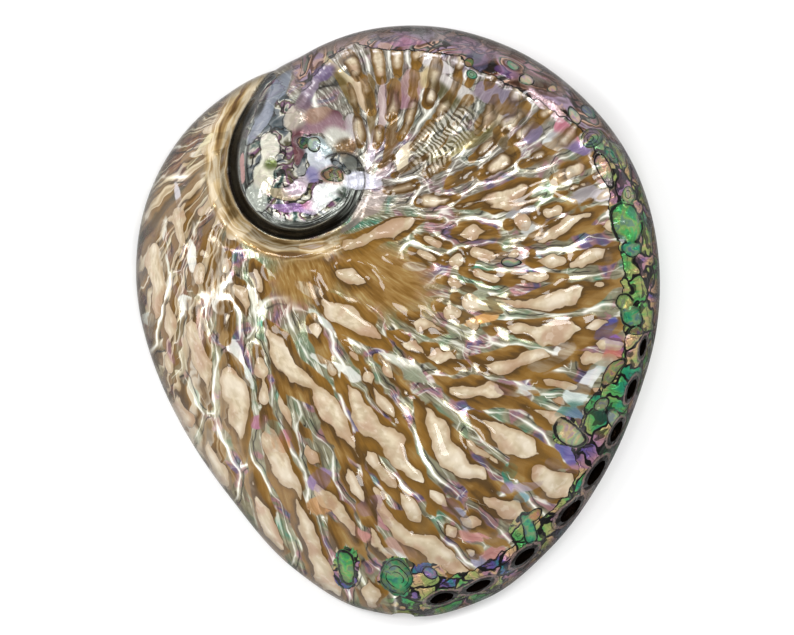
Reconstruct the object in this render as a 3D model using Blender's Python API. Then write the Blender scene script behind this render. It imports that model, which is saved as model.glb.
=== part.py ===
"""A polished abalone shell lying on its opening, modelled as one closed solid.

The shell is a sphere primitive whose rings are sent, one after another, over the back of the shell
from the tip of the spire to the edge, down round the edge, along the rim that it rests on, over the
inner shelf and back up the inside of the dome. Every height and radius on the way is a formula in the
growth spiral, so whorls, suture, row of holes, folds and rim all follow the way the shell grew.

Lengths are in millimetres until the mesh is written, which is in metres. +Z is up, +Y points to the
spire end, and the origin is on the table under the middle of the footprint.
"""

import math
from dataclasses import dataclass

import bmesh
import bpy
import numpy as np
from mathutils import Vector

MM = 0.001

# Driving dimensions, in mm.
HEIGHT = 50.0
APEX = (-17.3, 40.5)            # tip of the spire
DOME_CENTRE = (-3.0, 13.0)      # highest part of the back
LIP_WALL = 3.2                  # wall thickness near the lip
TOP_WALL = 4.2                  # wall thickness under the crown
LIP_LAND = 2.0                  # width of the rim that touches the table
PILLAR_LAND = 4.5               # the same on the thick inner margin under the row of holes
SHELF_WIDTH = 11.0              # shelf inside the thick margin
SHELF_THICKNESS = 3.0
SHELF_RISE = 1.8                # how far the shelf's underside climbs from the rim to its tip

# Mesh resolution of the sphere that is shaped into the shell.
COLUMNS = 384
BACK_RINGS = 118
EDGE_RINGS = 5
LAND_RINGS = 2
SHELF_RINGS = 8
INSIDE_RINGS = 41
RINGS = BACK_RINGS + EDGE_RINGS + LAND_RINGS + SHELF_RINGS + INSIDE_RINGS
TRIANGLES_KEPT = 9000           # after the fine mesh is reduced, before the holes are cut

# Growth spiral: growth angle in degrees (clockwise seen from above, 0 along +X) and radius in mm from
# the tip. Up to 241 it is the suture on the back, then the outline, past the notch at 441 and round
# the outer lip until it meets the suture's end again, one turn later.
SPIRAL = (
    (-200, 2.8), (-140, 4.2), (-80, 5.6), (-35, 7.5), (5, 8.7), (40, 9.9), (70, 12.6), (95, 15.4),
    (120, 20.2), (140, 24.0), (160, 26.9), (190, 29.1), (222, 31.2), (241, 34.4), (252, 34.9),
    (264, 37.0), (288, 44.0), (312, 54.4), (336, 68.4), (360, 84.6), (384, 98.4), (396, 104.4),
    (408, 112.0), (420, 120.0), (430, 125.2), (436, 125.8), (446, 121.4), (456, 110.3), (468, 94.6),
    (480, 83.2), (492, 74.4), (504, 67.4), (528, 55.6), (552, 45.9), (576, 38.9), (601, 34.4),
)
TIP_GROWTH = -200               # growth angle where the suture starts
SUTURE_END = 241                # growth angle where the suture runs out at the edge
SPIRAL_END = 601

# Row of holes: growth angle and radius. The last eight before the lip are open.
HOLE_ROW = (
    (60, 7.0), (120, 9.5), (168, 12.5), (187, 16.0), (207, 18.9), (247, 22.6), (275, 33.2),
    (307, 45.2), (328, 56.0), (354, 74.9), (382, 92.2), (402, 105.6), (423, 118.4), (445, 121.8),
)
CLOSED_HOLES = (168, 187, 207, 247, 275, 307, 328, 338, 354, 370, 381.5)

# Relief along the suture, over its growth angle: depth of the groove, step up to the spire's whorl
# inside it, and height of the smooth fold outside it.
GROOVE_DEPTH = ((-200, 0.0), (-120, 0.5), (20, 0.8), (80, 1.9), (120, 3.6), (215, 3.4), (241, 2.0))
SPIRE_STEP = ((-200, 0.0), (-140, 0.9), (20, 1.9), (110, 2.8), (170, 2.2), (241, 0.0))
CREST_HEIGHT = ((50, 0.0), (110, 1.0), (215, 1.0), (241, 0.0))

# Edge of the back all the way round: growth angle against height of the edge over the table, lift of
# the rim off the table, how far the wall tucks in below the edge, and the share of the inner shelf.
EDGE_HEIGHT = ((241, 8), (256, 9.5), (285, 12), (320, 15), (360, 17), (390, 16.5), (412, 12),
               (428, 6.5), (441, 5.2), (452, 2.2), (470, 1.6), (575, 1.6), (590, 4.5), (601, 8))
RIM_LIFT = ((241, 4.5), (256, 1.2), (268, -0.4), (424, -0.4), (434, 1.2), (441, 3.2), (448, 1.0),
            (456, -0.4), (500, -0.4), (522, 0.25), (545, -0.4), (572, -0.4), (588, 1.4), (601, 4.5))
WALL_TUCK = ((241, 2.0), (262, 5.0), (310, 8.0), (385, 8.5), (415, 5.0), (432, 1.4), (446, 0.5),
             (585, 0.5), (601, 2.0))
SHELF_SHARE = ((241, 0.15), (266, 1.0), (400, 1.0), (426, 0.25), (441, 0.0), (580, 0.0), (601, 0.15))


@dataclass(frozen=True)
class Fold:
    """A rounded ridge along a line of points, with the half width of its crest."""

    half_width: float
    points: tuple


# Folds and knobs of the back, read off the shell: whole millimetres from the middle of the footprint.
FOLDS = (
    # middle of the whorl, beside the spire
    Fold(1.5, ((-14, 21), (4, 27))),
    Fold(1.0, ((-26, 20), (-20, 20))),
    Fold(1.5, ((-15, 13), (-9, 11))),
    Fold(1.5, ((-20, 5), (-13, 1), (-5, -4))),
    Fold(1.5, ((4, 0), (10, 0))),
    Fold(1.5, ((2, -6), (7, -7))),
    Fold(1.5, ((9, -9), (15, -9))),
    Fold(2.0, ((16, -18), (22, -19), (30, -19))),
    # long folds that run down to the lip
    Fold(2.2, ((-35, -4), (-30, -10), (-22, -19), (-17, -26), (-14, -31))),
    Fold(2.0, ((-12, -19), (-7, -28), (-3, -32), (1, -37), (5, -41), (8, -45), (12, -49))),
    Fold(2.0, ((9, -24), (12, -30), (13, -34), (16, -37), (20, -40), (23, -41), (27, -47))),
    Fold(2.5, ((27, -29), (30, -32), (35, -35), (39, -36))),
    Fold(2.0, ((25, -49), (33, -51))),
    Fold(1.7, ((-5, -48), (-2, -54), (2, -59), (9, -62), (15, -67), (20, -71))),
    Fold(1.5, ((-21, -47), (-17, -50), (-13, -55))),
    Fold(1.5, ((19, -55), (23, -55))),
    Fold(1.5, ((27, -69), (30, -70))),
    Fold(2.0, ((-7, -73), (-6, -79))),
    Fold(2.0, ((-26, -54), (-24, -59), (-22, -66), (-19, -73), (-17, -76))),
    Fold(1.6, ((-40, -47), (-38, -52), (-35, -58), (-32, -63))),
    Fold(1.0, ((-23, -36), (-21, -38))),
    # side of the holes
    Fold(2.0, ((32, -2), (37, -2), (43, -2), (50, -2), (57, 0))),
    Fold(1.5, ((26, -12), (33, -11), (40, -9))),
    Fold(2.5, ((40, -25), (44, -27), (47, -31))),
    Fold(2.5, ((39, -41), (43, -44), (48, -45))),
    Fold(1.6, ((20, 32), (25, 33), (30, 35), (34, 37))),
    Fold(1.0, ((27, 31), (33, 32))),
    Fold(1.5, ((16, 38), (19, 40))),
    Fold(1.5, ((40, 22), (44, 25), (48, 28), (51, 29))),
    Fold(1.5, ((40, 17), (46, 17))),
    Fold(1.5, ((48, 16), (52, 18), (57, 20))),
    Fold(1.7, ((31, 6), (34, 5), (39, 5), (45, 7), (50, 9), (56, 10))),
    Fold(1.0, ((18, 23), (22, 24))),
    Fold(2.0, ((25, 59), (24, 54))),
    # outer lip side
    Fold(2.0, ((-60, 30), (-59, 22))),
    Fold(1.6, ((-67, 22), (-67, 3))),
    Fold(1.0, ((-63, 5), (-62, -4))),
    Fold(1.5, ((-64, -9), (-63, -13))),
    Fold(1.5, ((-56, -2), (-54, -8), (-53, -16))),
    Fold(2.5, ((-46, -14), (-44, -20), (-43, -26), (-43, -30))),
    Fold(1.0, ((-44, 10), (-41, 5))),
    Fold(1.0, ((-32, -22), (-30, -27))),
    Fold(2.2, ((-36, -31), (-33, -38), (-30, -43), (-28, -45))),
    Fold(2.0, ((-61, -22), (-59, -29))),
    Fold(2.0, ((-53, -36), (-51, -41), (-48, -45))),
)
FOLD_HEIGHT = 1.1
FOLD_REACH = 4.5                # from the crest to the foot of a fold
FOLD_START = 6.0                # folds come up over this distance outside the suture
EDGE_FADE = 7.0                 # all relief dies away over this distance from the edge

RELIEF_RISE = 1.6               # what folds and spire add to the height of the smooth dome
STEP_WIDTH = 5.0                # slope from the spire's whorl down to the next one
CREST_AWAY, CREST_WIDTH = 6.5, 2.4
RIB_HEIGHT, RIB_WIDTH = 1.1, 4.0
FURROW_DEPTH, FURROW_AWAY, FURROW_WIDTH = 0.7, 8.0, 3.5
KNOB_HEIGHT, KNOB_RADIUS, KNOB_WIDTH = 0.9, 2.6, 1.8
PIT_DEPTH, PIT_WIDTH = 0.4, 1.6


@dataclass(frozen=True)
class Breath:
    """An open breathing hole: where it is on the growth spiral and how big it is on the surface."""

    growth: float
    radius: float
    length: float
    width: float


BREATHS = (
    Breath(389.0, 97.6, 5.0, 3.2), Breath(395.6, 101.2, 6.0, 4.0), Breath(402.1, 105.4, 6.4, 4.4),
    Breath(408.5, 109.8, 8.2, 5.4), Breath(414.7, 113.8, 8.0, 5.6), Breath(423.4, 118.0, 7.0, 5.0),
    Breath(430.6, 120.6, 7.4, 4.8), Breath(435.7, 120.8, 6.8, 4.8),
)
BREATH_SIDES = 12
BREATH_OUT = 5.0                # how far a cutter stands out of the back
BREATH_IN = 9.0                 # and how far it reaches in, past the wall
NOTCH = Breath(441.3, 125.0, 7.0, 5.0)


def smooth_curve(knots, x):
    """Value at x of a smooth curve through (x, y) knots that never swings past them."""
    knot_x = np.array([k[0] for k in knots], float)
    knot_y = np.array([k[1] for k in knots], float)
    steep = np.diff(knot_y) / np.diff(knot_x)
    before, after = steep[:-1], steep[1:]
    same_way = before * after > 0
    total = np.where(same_way, before + after, 1)
    slope = np.concatenate(([steep[0]], np.where(same_way, 2 * before * after / total, 0), [steep[-1]]))
    x = np.clip(x, knot_x[0], knot_x[-1])
    i = np.clip(np.searchsorted(knot_x, x, side="right") - 1, 0, len(knots) - 2)
    width = knot_x[i + 1] - knot_x[i]
    t = (x - knot_x[i]) / width
    start = (1 + 2 * t) * (1 - t) ** 2 * knot_y[i] + t * (1 - t) ** 2 * width * slope[i]
    end = t * t * (3 - 2 * t) * knot_y[i + 1] + t * t * (t - 1) * width * slope[i + 1]
    return start + end


def ease(x):
    """Smooth step: 0 below 0, 1 above 1."""
    x = np.clip(x, 0, 1)
    return x * x * (3 - 2 * x)


def bump(x):
    """Round bump of height 1 at 0 that falls to almost nothing at 2."""
    return np.exp(-x * x)


def spiral(growth):
    """Radius of the growth spiral at a growth angle."""
    return smooth_curve(SPIRAL, growth)


def edge_growth(angle):
    """Growth angle of the outline in the direction of a polar angle, both in degrees."""
    return SUTURE_END + np.mod(-angle - SUTURE_END, 360)


def outline_inset(growth, inset):
    """Radius from the tip of the outline moved in by a distance across the edge."""
    ahead = SUTURE_END + np.mod(growth + 1 - SUTURE_END, 360)
    behind = SUTURE_END + np.mod(growth - 1 - SUTURE_END, 360)
    radius = spiral(growth)
    slant = (spiral(ahead) - spiral(behind)) / (2 * math.radians(1)) / radius
    return radius - inset * np.sqrt(1 + slant * slant)


def from_tip(x, y):
    """Distance and polar angle in degrees from the tip of the spire."""
    dx, dy = x - APEX[0], y - APEX[1]
    return np.hypot(dx, dy), np.degrees(np.arctan2(dy, dx))


def at_growth(growth, radius):
    """Place in plan of a growth angle and a radius from the tip."""
    angle = -np.radians(growth)
    return APEX[0] + radius * np.cos(angle), APEX[1] + radius * np.sin(angle)


class Whorls:
    """Where a place on the back lies among the whorls."""

    def __init__(self, x, y):
        self.radius, angle = from_tip(x, y)
        self.edge = edge_growth(angle)
        first = np.mod(-angle - TIP_GROWTH, 360) + TIP_GROWTH
        second = first + 360
        self.sutures = (first, np.where(second <= SUTURE_END, second, SUTURE_END))
        self.sutures_here = (np.ones_like(first), np.where(second <= SUTURE_END, 1.0, 0.0))
        last_suture = np.where(second <= SUTURE_END, second, first)
        past_first = self.radius >= spiral(first)
        past_last = self.radius >= spiral(last_suture)
        self.growth = np.where(past_last, self.edge, np.where(past_first, second, first))
        self.from_suture = self.radius - spiral(last_suture)

    def over_sutures(self, relief):
        """Sum of a relief over the turns of the suture: relief takes growth angle and distance outside."""
        return sum(here * relief(growth, self.radius - spiral(growth))
                   for growth, here in zip(self.sutures, self.sutures_here))


class Dome:
    """Smooth crowned form over the outline moved in by a wall thickness."""

    def __init__(self, inset, height):
        growth = np.linspace(SUTURE_END, SPIRAL_END, 1441)
        x, y = at_growth(growth, outline_inset(growth, inset))
        turn = np.arctan2(y - DOME_CENTRE[1], x - DOME_CENTRE[0])
        order = np.argsort(turn)
        self.turn = turn[order]
        self.reach = np.hypot(x - DOME_CENTRE[0], y - DOME_CENTRE[1])[order]
        self.height = height

    def rise(self, x, y):
        """Share of the dome's height over a place: 1 at its centre, 0 at its edge."""
        dx, dy = x - DOME_CENTRE[0], y - DOME_CENTRE[1]
        turn = np.arctan2(dy, dx)
        reach = np.interp(turn, self.turn, self.reach, period=2 * math.pi)
        out = np.clip(np.hypot(dx, dy) / reach, 0, 1)
        flatter_front = 0.5 - 0.5 * np.sin(turn)
        power = 0.60 + 0.16 * flatter_front
        return (1 - out ** 2.15) ** power

    def over(self, x, y, edge_height):
        """Height over a place for a dome that stands on an edge of the given height."""
        return edge_height + (self.height - edge_height) * self.rise(x, y)


def nearest_on_line(x, y, points):
    """Distance in plan to a line of points."""
    nearest = np.full(np.shape(x), 1e9)
    for (x0, y0), (x1, y1) in zip(points, points[1:]):
        dx, dy = x1 - x0, y1 - y0
        along = np.clip(((x - x0) * dx + (y - y0) * dy) / (dx * dx + dy * dy), 0, 1)
        nearest = np.minimum(nearest, np.hypot(x - x0 - along * dx, y - y0 - along * dy))
    return nearest


def fold_relief(x, y):
    """Height of the folds: round crests with valleys half way to the next fold."""
    first = np.full(np.shape(x), 1e9)
    second = np.full(np.shape(x), 1e9)
    for fold in FOLDS:
        away = nearest_on_line(x, y, fold.points) - fold.half_width
        second = np.minimum(second, np.maximum(first, away))
        first = np.minimum(first, away)
    half_gap = np.clip(0.5 * (first + second), 0.5, FOLD_REACH)
    valley = (half_gap / FOLD_REACH) ** 0.5
    return FOLD_HEIGHT * (1 - valley * (1 - ease(1 - np.maximum(first, 0) / half_gap)))


def groove(growth, outside):
    """Groove along the suture, deepest on the lip side of the spire."""
    depth = np.interp(growth, *zip(*GROOVE_DEPTH))
    return depth * bump((outside - 0.6) / (1.0 + 0.3 * depth))


def spire_step(growth, outside):
    """How far the whorl inside a suture stands above the whorl outside it."""
    return np.interp(growth, *zip(*SPIRE_STEP)) * ease(0.1 - outside / STEP_WIDTH)


def groove_crest(growth, outside):
    """Smooth rounded fold of the outer whorl along the groove."""
    height = np.interp(growth, *zip(*CREST_HEIGHT))
    return height * bump((outside - CREST_AWAY) / CREST_WIDTH)


def suture_relief(place):
    """Groove, step and fold of every turn of the suture."""
    return place.over_sutures(lambda growth, outside: spire_step(growth, outside)
                              + groove_crest(growth, outside) - groove(growth, outside))


def hole_row_relief(place):
    """Spiral rib that carries the holes, with a knob and a pit at each closed one."""
    growth = place.growth
    on_back = ease((growth - 130) / 50) * ease((452 - growth) / 14)
    from_row = place.radius - smooth_curve(HOLE_ROW, growth)
    rib = RIB_HEIGHT * bump(from_row / RIB_WIDTH)
    furrow = -FURROW_DEPTH * bump((from_row + FURROW_AWAY) / FURROW_WIDTH) * ease((growth - 270) / 40)
    knobs = 0
    for hole in CLOSED_HOLES + tuple(b.growth for b in BREATHS):
        along = np.radians(growth - hole) * place.radius
        away = np.hypot(along, from_row)
        knobs = knobs + KNOB_HEIGHT * bump((away - KNOB_RADIUS) / KNOB_WIDTH)
        knobs = knobs - PIT_DEPTH * bump(away / PIT_WIDTH)
    return on_back * (rib + furrow + knobs)


OUTER_DOME = Dome(0.0, HEIGHT - RELIEF_RISE)
INNER_DOME = Dome(LIP_WALL, HEIGHT - RELIEF_RISE - TOP_WALL)


def outer_height(x, y):
    """Height of the back over a place in plan."""
    place = Whorls(x, y)
    edge_height = smooth_curve(EDGE_HEIGHT, place.edge)
    from_edge = spiral(place.edge) - place.radius
    fade = ease(from_edge / EDGE_FADE)
    relief = suture_relief(place) + hole_row_relief(place)
    folds = fold_relief(x, y) * ease(place.from_suture / FOLD_START)
    return OUTER_DOME.over(x, y, edge_height) + fade * (relief + folds)


def inner_edge_height(growth):
    """Height at which the inside of the dome starts."""
    edge_height = smooth_curve(EDGE_HEIGHT, growth)
    return np.maximum(edge_height - 2.5, 0.5 * edge_height + 0.9)


def inner_height(x, y):
    """Height of the inside of the dome, with the fold that the suture leaves inside."""
    place = Whorls(x, y)
    from_edge = spiral(place.edge) - place.radius
    fade = ease((from_edge - LIP_WALL) / 9.0)
    relief = place.over_sutures(lambda growth, outside: 0.8 * spire_step(growth, outside + 2.0)
                                - groove(growth, 0.7 * outside))
    return INNER_DOME.over(x, y, inner_edge_height(place.edge)) + fade * relief


def edge_profile(growth, share):
    """Inset and height round the edge, from the back (share 0) to the rim (share 1)."""
    top = smooth_curve(EDGE_HEIGHT, growth)
    lift = smooth_curve(RIM_LIFT, growth)
    tuck = smooth_curve(WALL_TUCK, growth)
    turn = 0.5 * math.pi * share
    return tuck * (1 - math.cos(turn)), top - (top - lift) * math.sin(turn)


def shelf_profile(growth, share):
    """Inset and height from the rim's inner edge (share 0) over the shelf to the dome (share 1)."""
    lift = smooth_curve(RIM_LIFT, growth)
    tuck = smooth_curve(WALL_TUCK, growth)
    shelf = smooth_curve(SHELF_SHARE, growth)
    start = tuck + LIP_LAND + (PILLAR_LAND - LIP_LAND) * shelf
    end_height = inner_edge_height(growth)
    plain_inset = start + (LIP_WALL - start) * share
    plain_height = lift + (end_height - lift) * share
    tip = start + SHELF_WIDTH
    under = lift + SHELF_RISE
    over = under + SHELF_THICKNESS
    stations = (                # share of the way, inset and height
        (0.0, start, lift),
        (0.2, 0.5 * (start + tip), lift + 0.67 * SHELF_RISE),
        (0.4, tip, under),
        (0.5, tip + 0.6, 0.5 * (under + over)),
        (0.62, tip - 1.0, over),
        (0.8, start + 1.5, over + 1.2),
        (0.9, 0.5 * (start + LIP_WALL) + 0.8, lift + 0.55 * (end_height - lift) + 2.0),
        (1.0, LIP_WALL, end_height),
    )
    k = max(i for i in range(len(stations) - 1) if stations[i][0] <= share)
    (low, inset_low, height_low), (high, inset_high, height_high) = stations[k], stations[k + 1]
    part = (share - low) / (high - low)
    shelf_inset = inset_low + (inset_high - inset_low) * part
    shelf_height = height_low + (height_high - height_low) * part
    return (plain_inset + (shelf_inset - plain_inset) * shelf,
            plain_height + (shelf_height - plain_height) * shelf)


def ring_points(ring, angle):
    """Places of one ring of the sphere after it is shaped, for the polar angles of its columns."""
    growth = edge_growth(angle)
    step = ring
    if step <= BACK_RINGS:
        x, y = at_growth(growth, spiral(growth) * (step / BACK_RINGS))
        return x, y, outer_height(x, y)
    step -= BACK_RINGS
    if step <= EDGE_RINGS:
        inset, z = edge_profile(growth, step / EDGE_RINGS)
    elif step <= EDGE_RINGS + LAND_RINGS:
        share = (step - EDGE_RINGS) / LAND_RINGS
        outer, z = edge_profile(growth, 1.0)
        inner, _ = shelf_profile(growth, 0.0)
        inset = outer + (inner - outer) * share
    elif step <= EDGE_RINGS + LAND_RINGS + SHELF_RINGS:
        inset, z = shelf_profile(growth, (step - EDGE_RINGS - LAND_RINGS) / SHELF_RINGS)
    else:
        left = (RINGS - ring) / INSIDE_RINGS
        x, y = at_growth(growth, outline_inset(growth, LIP_WALL) * left)
        return x, y, inner_height(x, y)
    x, y = at_growth(growth, outline_inset(growth, inset))
    return x, y, z


def clear_scene():
    """Remove whatever the file opened with."""
    for thing in list(bpy.data.objects):
        bpy.data.objects.remove(thing, do_unlink=True)


def collection(name):
    """New collection under the scene."""
    made = bpy.data.collections.new(name)
    bpy.context.scene.collection.children.link(made)
    return made


def nacre_material():
    """Polished shell: warm brown and silver, glossy."""
    material = bpy.data.materials.new("polished_shell")
    material.use_nodes = True
    surface = material.node_tree.nodes["Principled BSDF"]
    surface.inputs["Base Color"].default_value = (0.42, 0.33, 0.22, 1)
    surface.inputs["Roughness"].default_value = 0.18
    surface.inputs["Metallic"].default_value = 0.15
    return material


def shaped_shell():
    """Fine closed mesh of the shell without its holes."""
    mesh = bmesh.new()
    bmesh.ops.create_uvsphere(mesh, u_segments=COLUMNS, v_segments=RINGS, radius=1.0)
    mesh.verts.ensure_lookup_table()
    start = np.array([v.co for v in mesh.verts])
    ring_of = np.rint(np.arccos(np.clip(start[:, 2], -1, 1)) / math.pi * RINGS).astype(int)
    angle = np.degrees(np.arctan2(start[:, 1], start[:, 0]))
    places = np.zeros_like(start)
    for ring in range(RINGS + 1):
        chosen = ring_of == ring
        places[chosen] = np.column_stack(ring_points(ring, angle[chosen]))
    for vert, place in zip(mesh.verts, places):
        vert.co = Vector(place) * MM
    data = bpy.data.meshes.new("shell")
    mesh.to_mesh(data)
    mesh.free()
    return data


def surface_normal(x, y, step=1.5):
    """Outward unit normal of the back over a place, from its slope over a few millimetres."""
    slope_x = (outer_height(x + step, y) - outer_height(x - step, y)) / (2 * step)
    slope_y = (outer_height(x, y + step) - outer_height(x, y - step)) / (2 * step)
    return Vector((-float(slope_x), -float(slope_y), 1)).normalized()


def breath_cutter(breath, name, home):
    """Oval peg through the wall at one breathing hole."""
    x, y = (float(v) for v in at_growth(breath.growth, breath.radius))
    z = float(outer_height(np.array(x), np.array(y)))
    out = surface_normal(np.array(x), np.array(y))
    ahead = Vector((*at_growth(breath.growth + 1, breath.radius * 1.004), 0))
    along = ahead - Vector((x, y, 0))
    along = (along - out * along.dot(out)).normalized()
    across = out.cross(along)
    peg = bmesh.new()
    bmesh.ops.create_cone(peg, cap_ends=True, segments=BREATH_SIDES, radius1=0.5, radius2=0.5, depth=1)
    depth = BREATH_OUT + BREATH_IN
    middle = Vector((x, y, z)) + out * (0.5 * (BREATH_OUT - BREATH_IN))
    for vert in peg.verts:
        local = vert.co.copy()
        vert.co = (middle + along * (local.x * breath.length) + across * (local.y * breath.width)
                   + out * (local.z * depth)) * MM
    data = bpy.data.meshes.new(name)
    peg.to_mesh(data)
    peg.free()
    return guide_object(name, data, home)


def table_cutter(home):
    """Block under the table plane, which leaves the rim a true flat seat."""
    bpy.ops.mesh.primitive_cube_add(size=1, location=(0, 0, -0.01))
    block = bpy.context.object
    block.name = "table_cut"
    block.scale = (0.3, 0.3, 0.02)
    for owner in list(block.users_collection):
        owner.objects.unlink(block)
    home.objects.link(block)
    block.hide_render = True
    block.display_type = "WIRE"
    return block


def guide_object(name, data, home):
    """Object that only cuts: kept out of the render."""
    guide = bpy.data.objects.new(name, data)
    guide.hide_render = True
    guide.display_type = "WIRE"
    home.objects.link(guide)
    return guide


def cut(target, cutter):
    """Take the cutter's volume out of the target."""
    modifier = target.modifiers.new(cutter.name, "BOOLEAN")
    modifier.operation = "DIFFERENCE"
    modifier.solver = "EXACT"
    modifier.object = cutter


def main():
    """Build the shell."""
    clear_scene()
    home = collection("abalone_shell")
    guides = collection("cutters")
    data = shaped_shell()
    data.materials.append(nacre_material())
    shell = bpy.data.objects.new("shell", data)
    home.objects.link(shell)
    reduce = shell.modifiers.new("reduce", "DECIMATE")
    reduce.ratio = TRIANGLES_KEPT / (2 * COLUMNS * (RINGS - 1))
    cut(shell, table_cutter(guides))
    for number, breath in enumerate(BREATHS + (NOTCH,), start=1):
        cut(shell, breath_cutter(breath, f"breath_cut_{number}", guides))


main()
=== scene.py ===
"""Looks of a polished abalone shell lying on its opening.

The shell's form is worked out from its growth spiral, as the solid model's is, but on a much finer
mesh. The same lists of folds drive both the relief of the back and its colours: cream crests, caramel
bands round them, and silver mother-of-pearl in the valleys between. Lengths are in millimetres until
they reach the mesh.
"""

import logging
import math
import random
from collections.abc import Callable
from dataclasses import dataclass, field

import bpy
import numpy as np
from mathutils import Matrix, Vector, noise

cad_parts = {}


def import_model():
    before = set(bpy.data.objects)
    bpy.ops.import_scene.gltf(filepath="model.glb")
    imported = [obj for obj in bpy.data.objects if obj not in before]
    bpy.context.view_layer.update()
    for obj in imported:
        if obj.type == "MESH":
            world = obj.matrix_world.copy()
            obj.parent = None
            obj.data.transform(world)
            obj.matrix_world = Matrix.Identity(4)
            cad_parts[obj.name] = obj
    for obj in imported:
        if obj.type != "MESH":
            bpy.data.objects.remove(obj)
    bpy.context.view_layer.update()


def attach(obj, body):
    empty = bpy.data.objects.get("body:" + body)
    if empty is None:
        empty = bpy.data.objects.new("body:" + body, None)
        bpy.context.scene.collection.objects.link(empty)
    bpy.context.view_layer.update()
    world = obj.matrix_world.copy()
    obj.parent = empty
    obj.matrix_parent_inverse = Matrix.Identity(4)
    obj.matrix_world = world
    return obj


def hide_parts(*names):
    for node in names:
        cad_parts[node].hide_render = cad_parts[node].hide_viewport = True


LOG = logging.getLogger("abalone")
MM = 0.001


def colour(code: str) -> tuple[float, float, float, float]:
    """Scene-linear colour of a web colour code.

    Args:
        code: six hexadecimal digits.

    Returns:
        Red, green, blue and alpha for a shader socket.
    """
    parts = [int(code[i:i + 2], 16) / 255 for i in (0, 2, 4)]
    linear = [p / 12.92 if p <= 0.04045 else ((p + 0.055) / 1.055) ** 2.4 for p in parts]
    return (*linear, 1.0)


def ease(x: np.ndarray) -> np.ndarray:
    """Smooth step: 0 below 0, 1 above 1."""
    x = np.clip(x, 0, 1)
    return x * x * (3 - 2 * x)


def bump(x: np.ndarray) -> np.ndarray:
    """Round bump of height 1 at 0 that falls to almost nothing at 2."""
    return np.exp(-x * x)


class Curve:
    """A smooth curve through knots that never swings past them."""

    def __init__(self, *knots: tuple[float, float]) -> None:
        """Keep the knots and work out the slope at each.

        Args:
            knots: pairs of a place along the curve and its value, in rising order.
        """
        self.x = np.array([k[0] for k in knots], float)
        self.y = np.array([k[1] for k in knots], float)
        steep = np.diff(self.y) / np.diff(self.x)
        before, after = steep[:-1], steep[1:]
        same_way = before * after > 0
        total = np.where(same_way, before + after, 1)
        inner = np.where(same_way, 2 * before * after / total, 0)
        self.slope = np.concatenate(([steep[0]], inner, [steep[-1]]))

    def __call__(self, x: np.ndarray) -> np.ndarray:
        """Value at x."""
        x = np.clip(x, self.x[0], self.x[-1])
        i = np.clip(np.searchsorted(self.x, x, side="right") - 1, 0, len(self.x) - 2)
        width = self.x[i + 1] - self.x[i]
        t = (x - self.x[i]) / width
        start = (1 + 2 * t) * (1 - t) ** 2 * self.y[i] + t * (1 - t) ** 2 * width * self.slope[i]
        end = t * t * (3 - 2 * t) * self.y[i + 1] + t * t * (t - 1) * width * self.slope[i + 1]
        return start + end


TIP_GROWTH = -200
SUTURE_END = 241
SPIRAL_END = 601


@dataclass(frozen=True)
class GrowthSpiral:
    """The spiral that the shell grew along: suture on the back, then the outline and the lip.

    Growth angles are in degrees, clockwise seen from above, from 0 along +X. Radii are from the tip.
    """

    tip: tuple[float, float] = (-17.3, 40.5)
    radius: Curve = Curve(
        (-200, 2.8), (-140, 4.2), (-80, 5.6), (-35, 7.5), (5, 8.7), (40, 9.9), (70, 12.6), (95, 15.4),
        (120, 20.2), (140, 24.0), (160, 26.9), (190, 29.1), (222, 31.2), (241, 34.4), (252, 34.9),
        (264, 37.0), (288, 44.0), (312, 54.4), (336, 68.4), (360, 84.6), (384, 98.4), (396, 104.4),
        (408, 112.0), (420, 120.0), (430, 125.2), (436, 125.8), (446, 121.4), (456, 110.3),
        (468, 94.6), (480, 83.2), (492, 74.4), (504, 67.4), (528, 55.6), (552, 45.9), (576, 38.9),
        (601, 34.4),
    )

    def edge_growth(self, angle: np.ndarray) -> np.ndarray:
        """Growth angle of the outline in the direction of a polar angle, both in degrees."""
        return SUTURE_END + np.mod(-angle - SUTURE_END, 360)

    def inset(self, growth: np.ndarray, distance: np.ndarray) -> np.ndarray:
        """Radius of the outline moved in.

        Args:
            growth: growth angles on the outline.
            distance: how far to move in, measured across the edge.

        Returns:
            Radii from the tip.
        """
        ahead = SUTURE_END + np.mod(growth + 1 - SUTURE_END, 360)
        behind = SUTURE_END + np.mod(growth - 1 - SUTURE_END, 360)
        radius = self.radius(growth)
        slant = (self.radius(ahead) - self.radius(behind)) / (2 * math.radians(1)) / radius
        return radius - distance * np.sqrt(1 + slant * slant)

    def polar(self, x: np.ndarray, y: np.ndarray) -> tuple[np.ndarray, np.ndarray]:
        """Distance from the tip and polar angle in degrees of a place in plan."""
        dx, dy = x - self.tip[0], y - self.tip[1]
        return np.hypot(dx, dy), np.degrees(np.arctan2(dy, dx))

    def place(self, growth: np.ndarray, radius: np.ndarray) -> tuple[np.ndarray, np.ndarray]:
        """Place in plan of a growth angle and a radius."""
        angle = -np.radians(growth)
        return self.tip[0] + radius * np.cos(angle), self.tip[1] + radius * np.sin(angle)


SPIRAL = GrowthSpiral()


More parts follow.
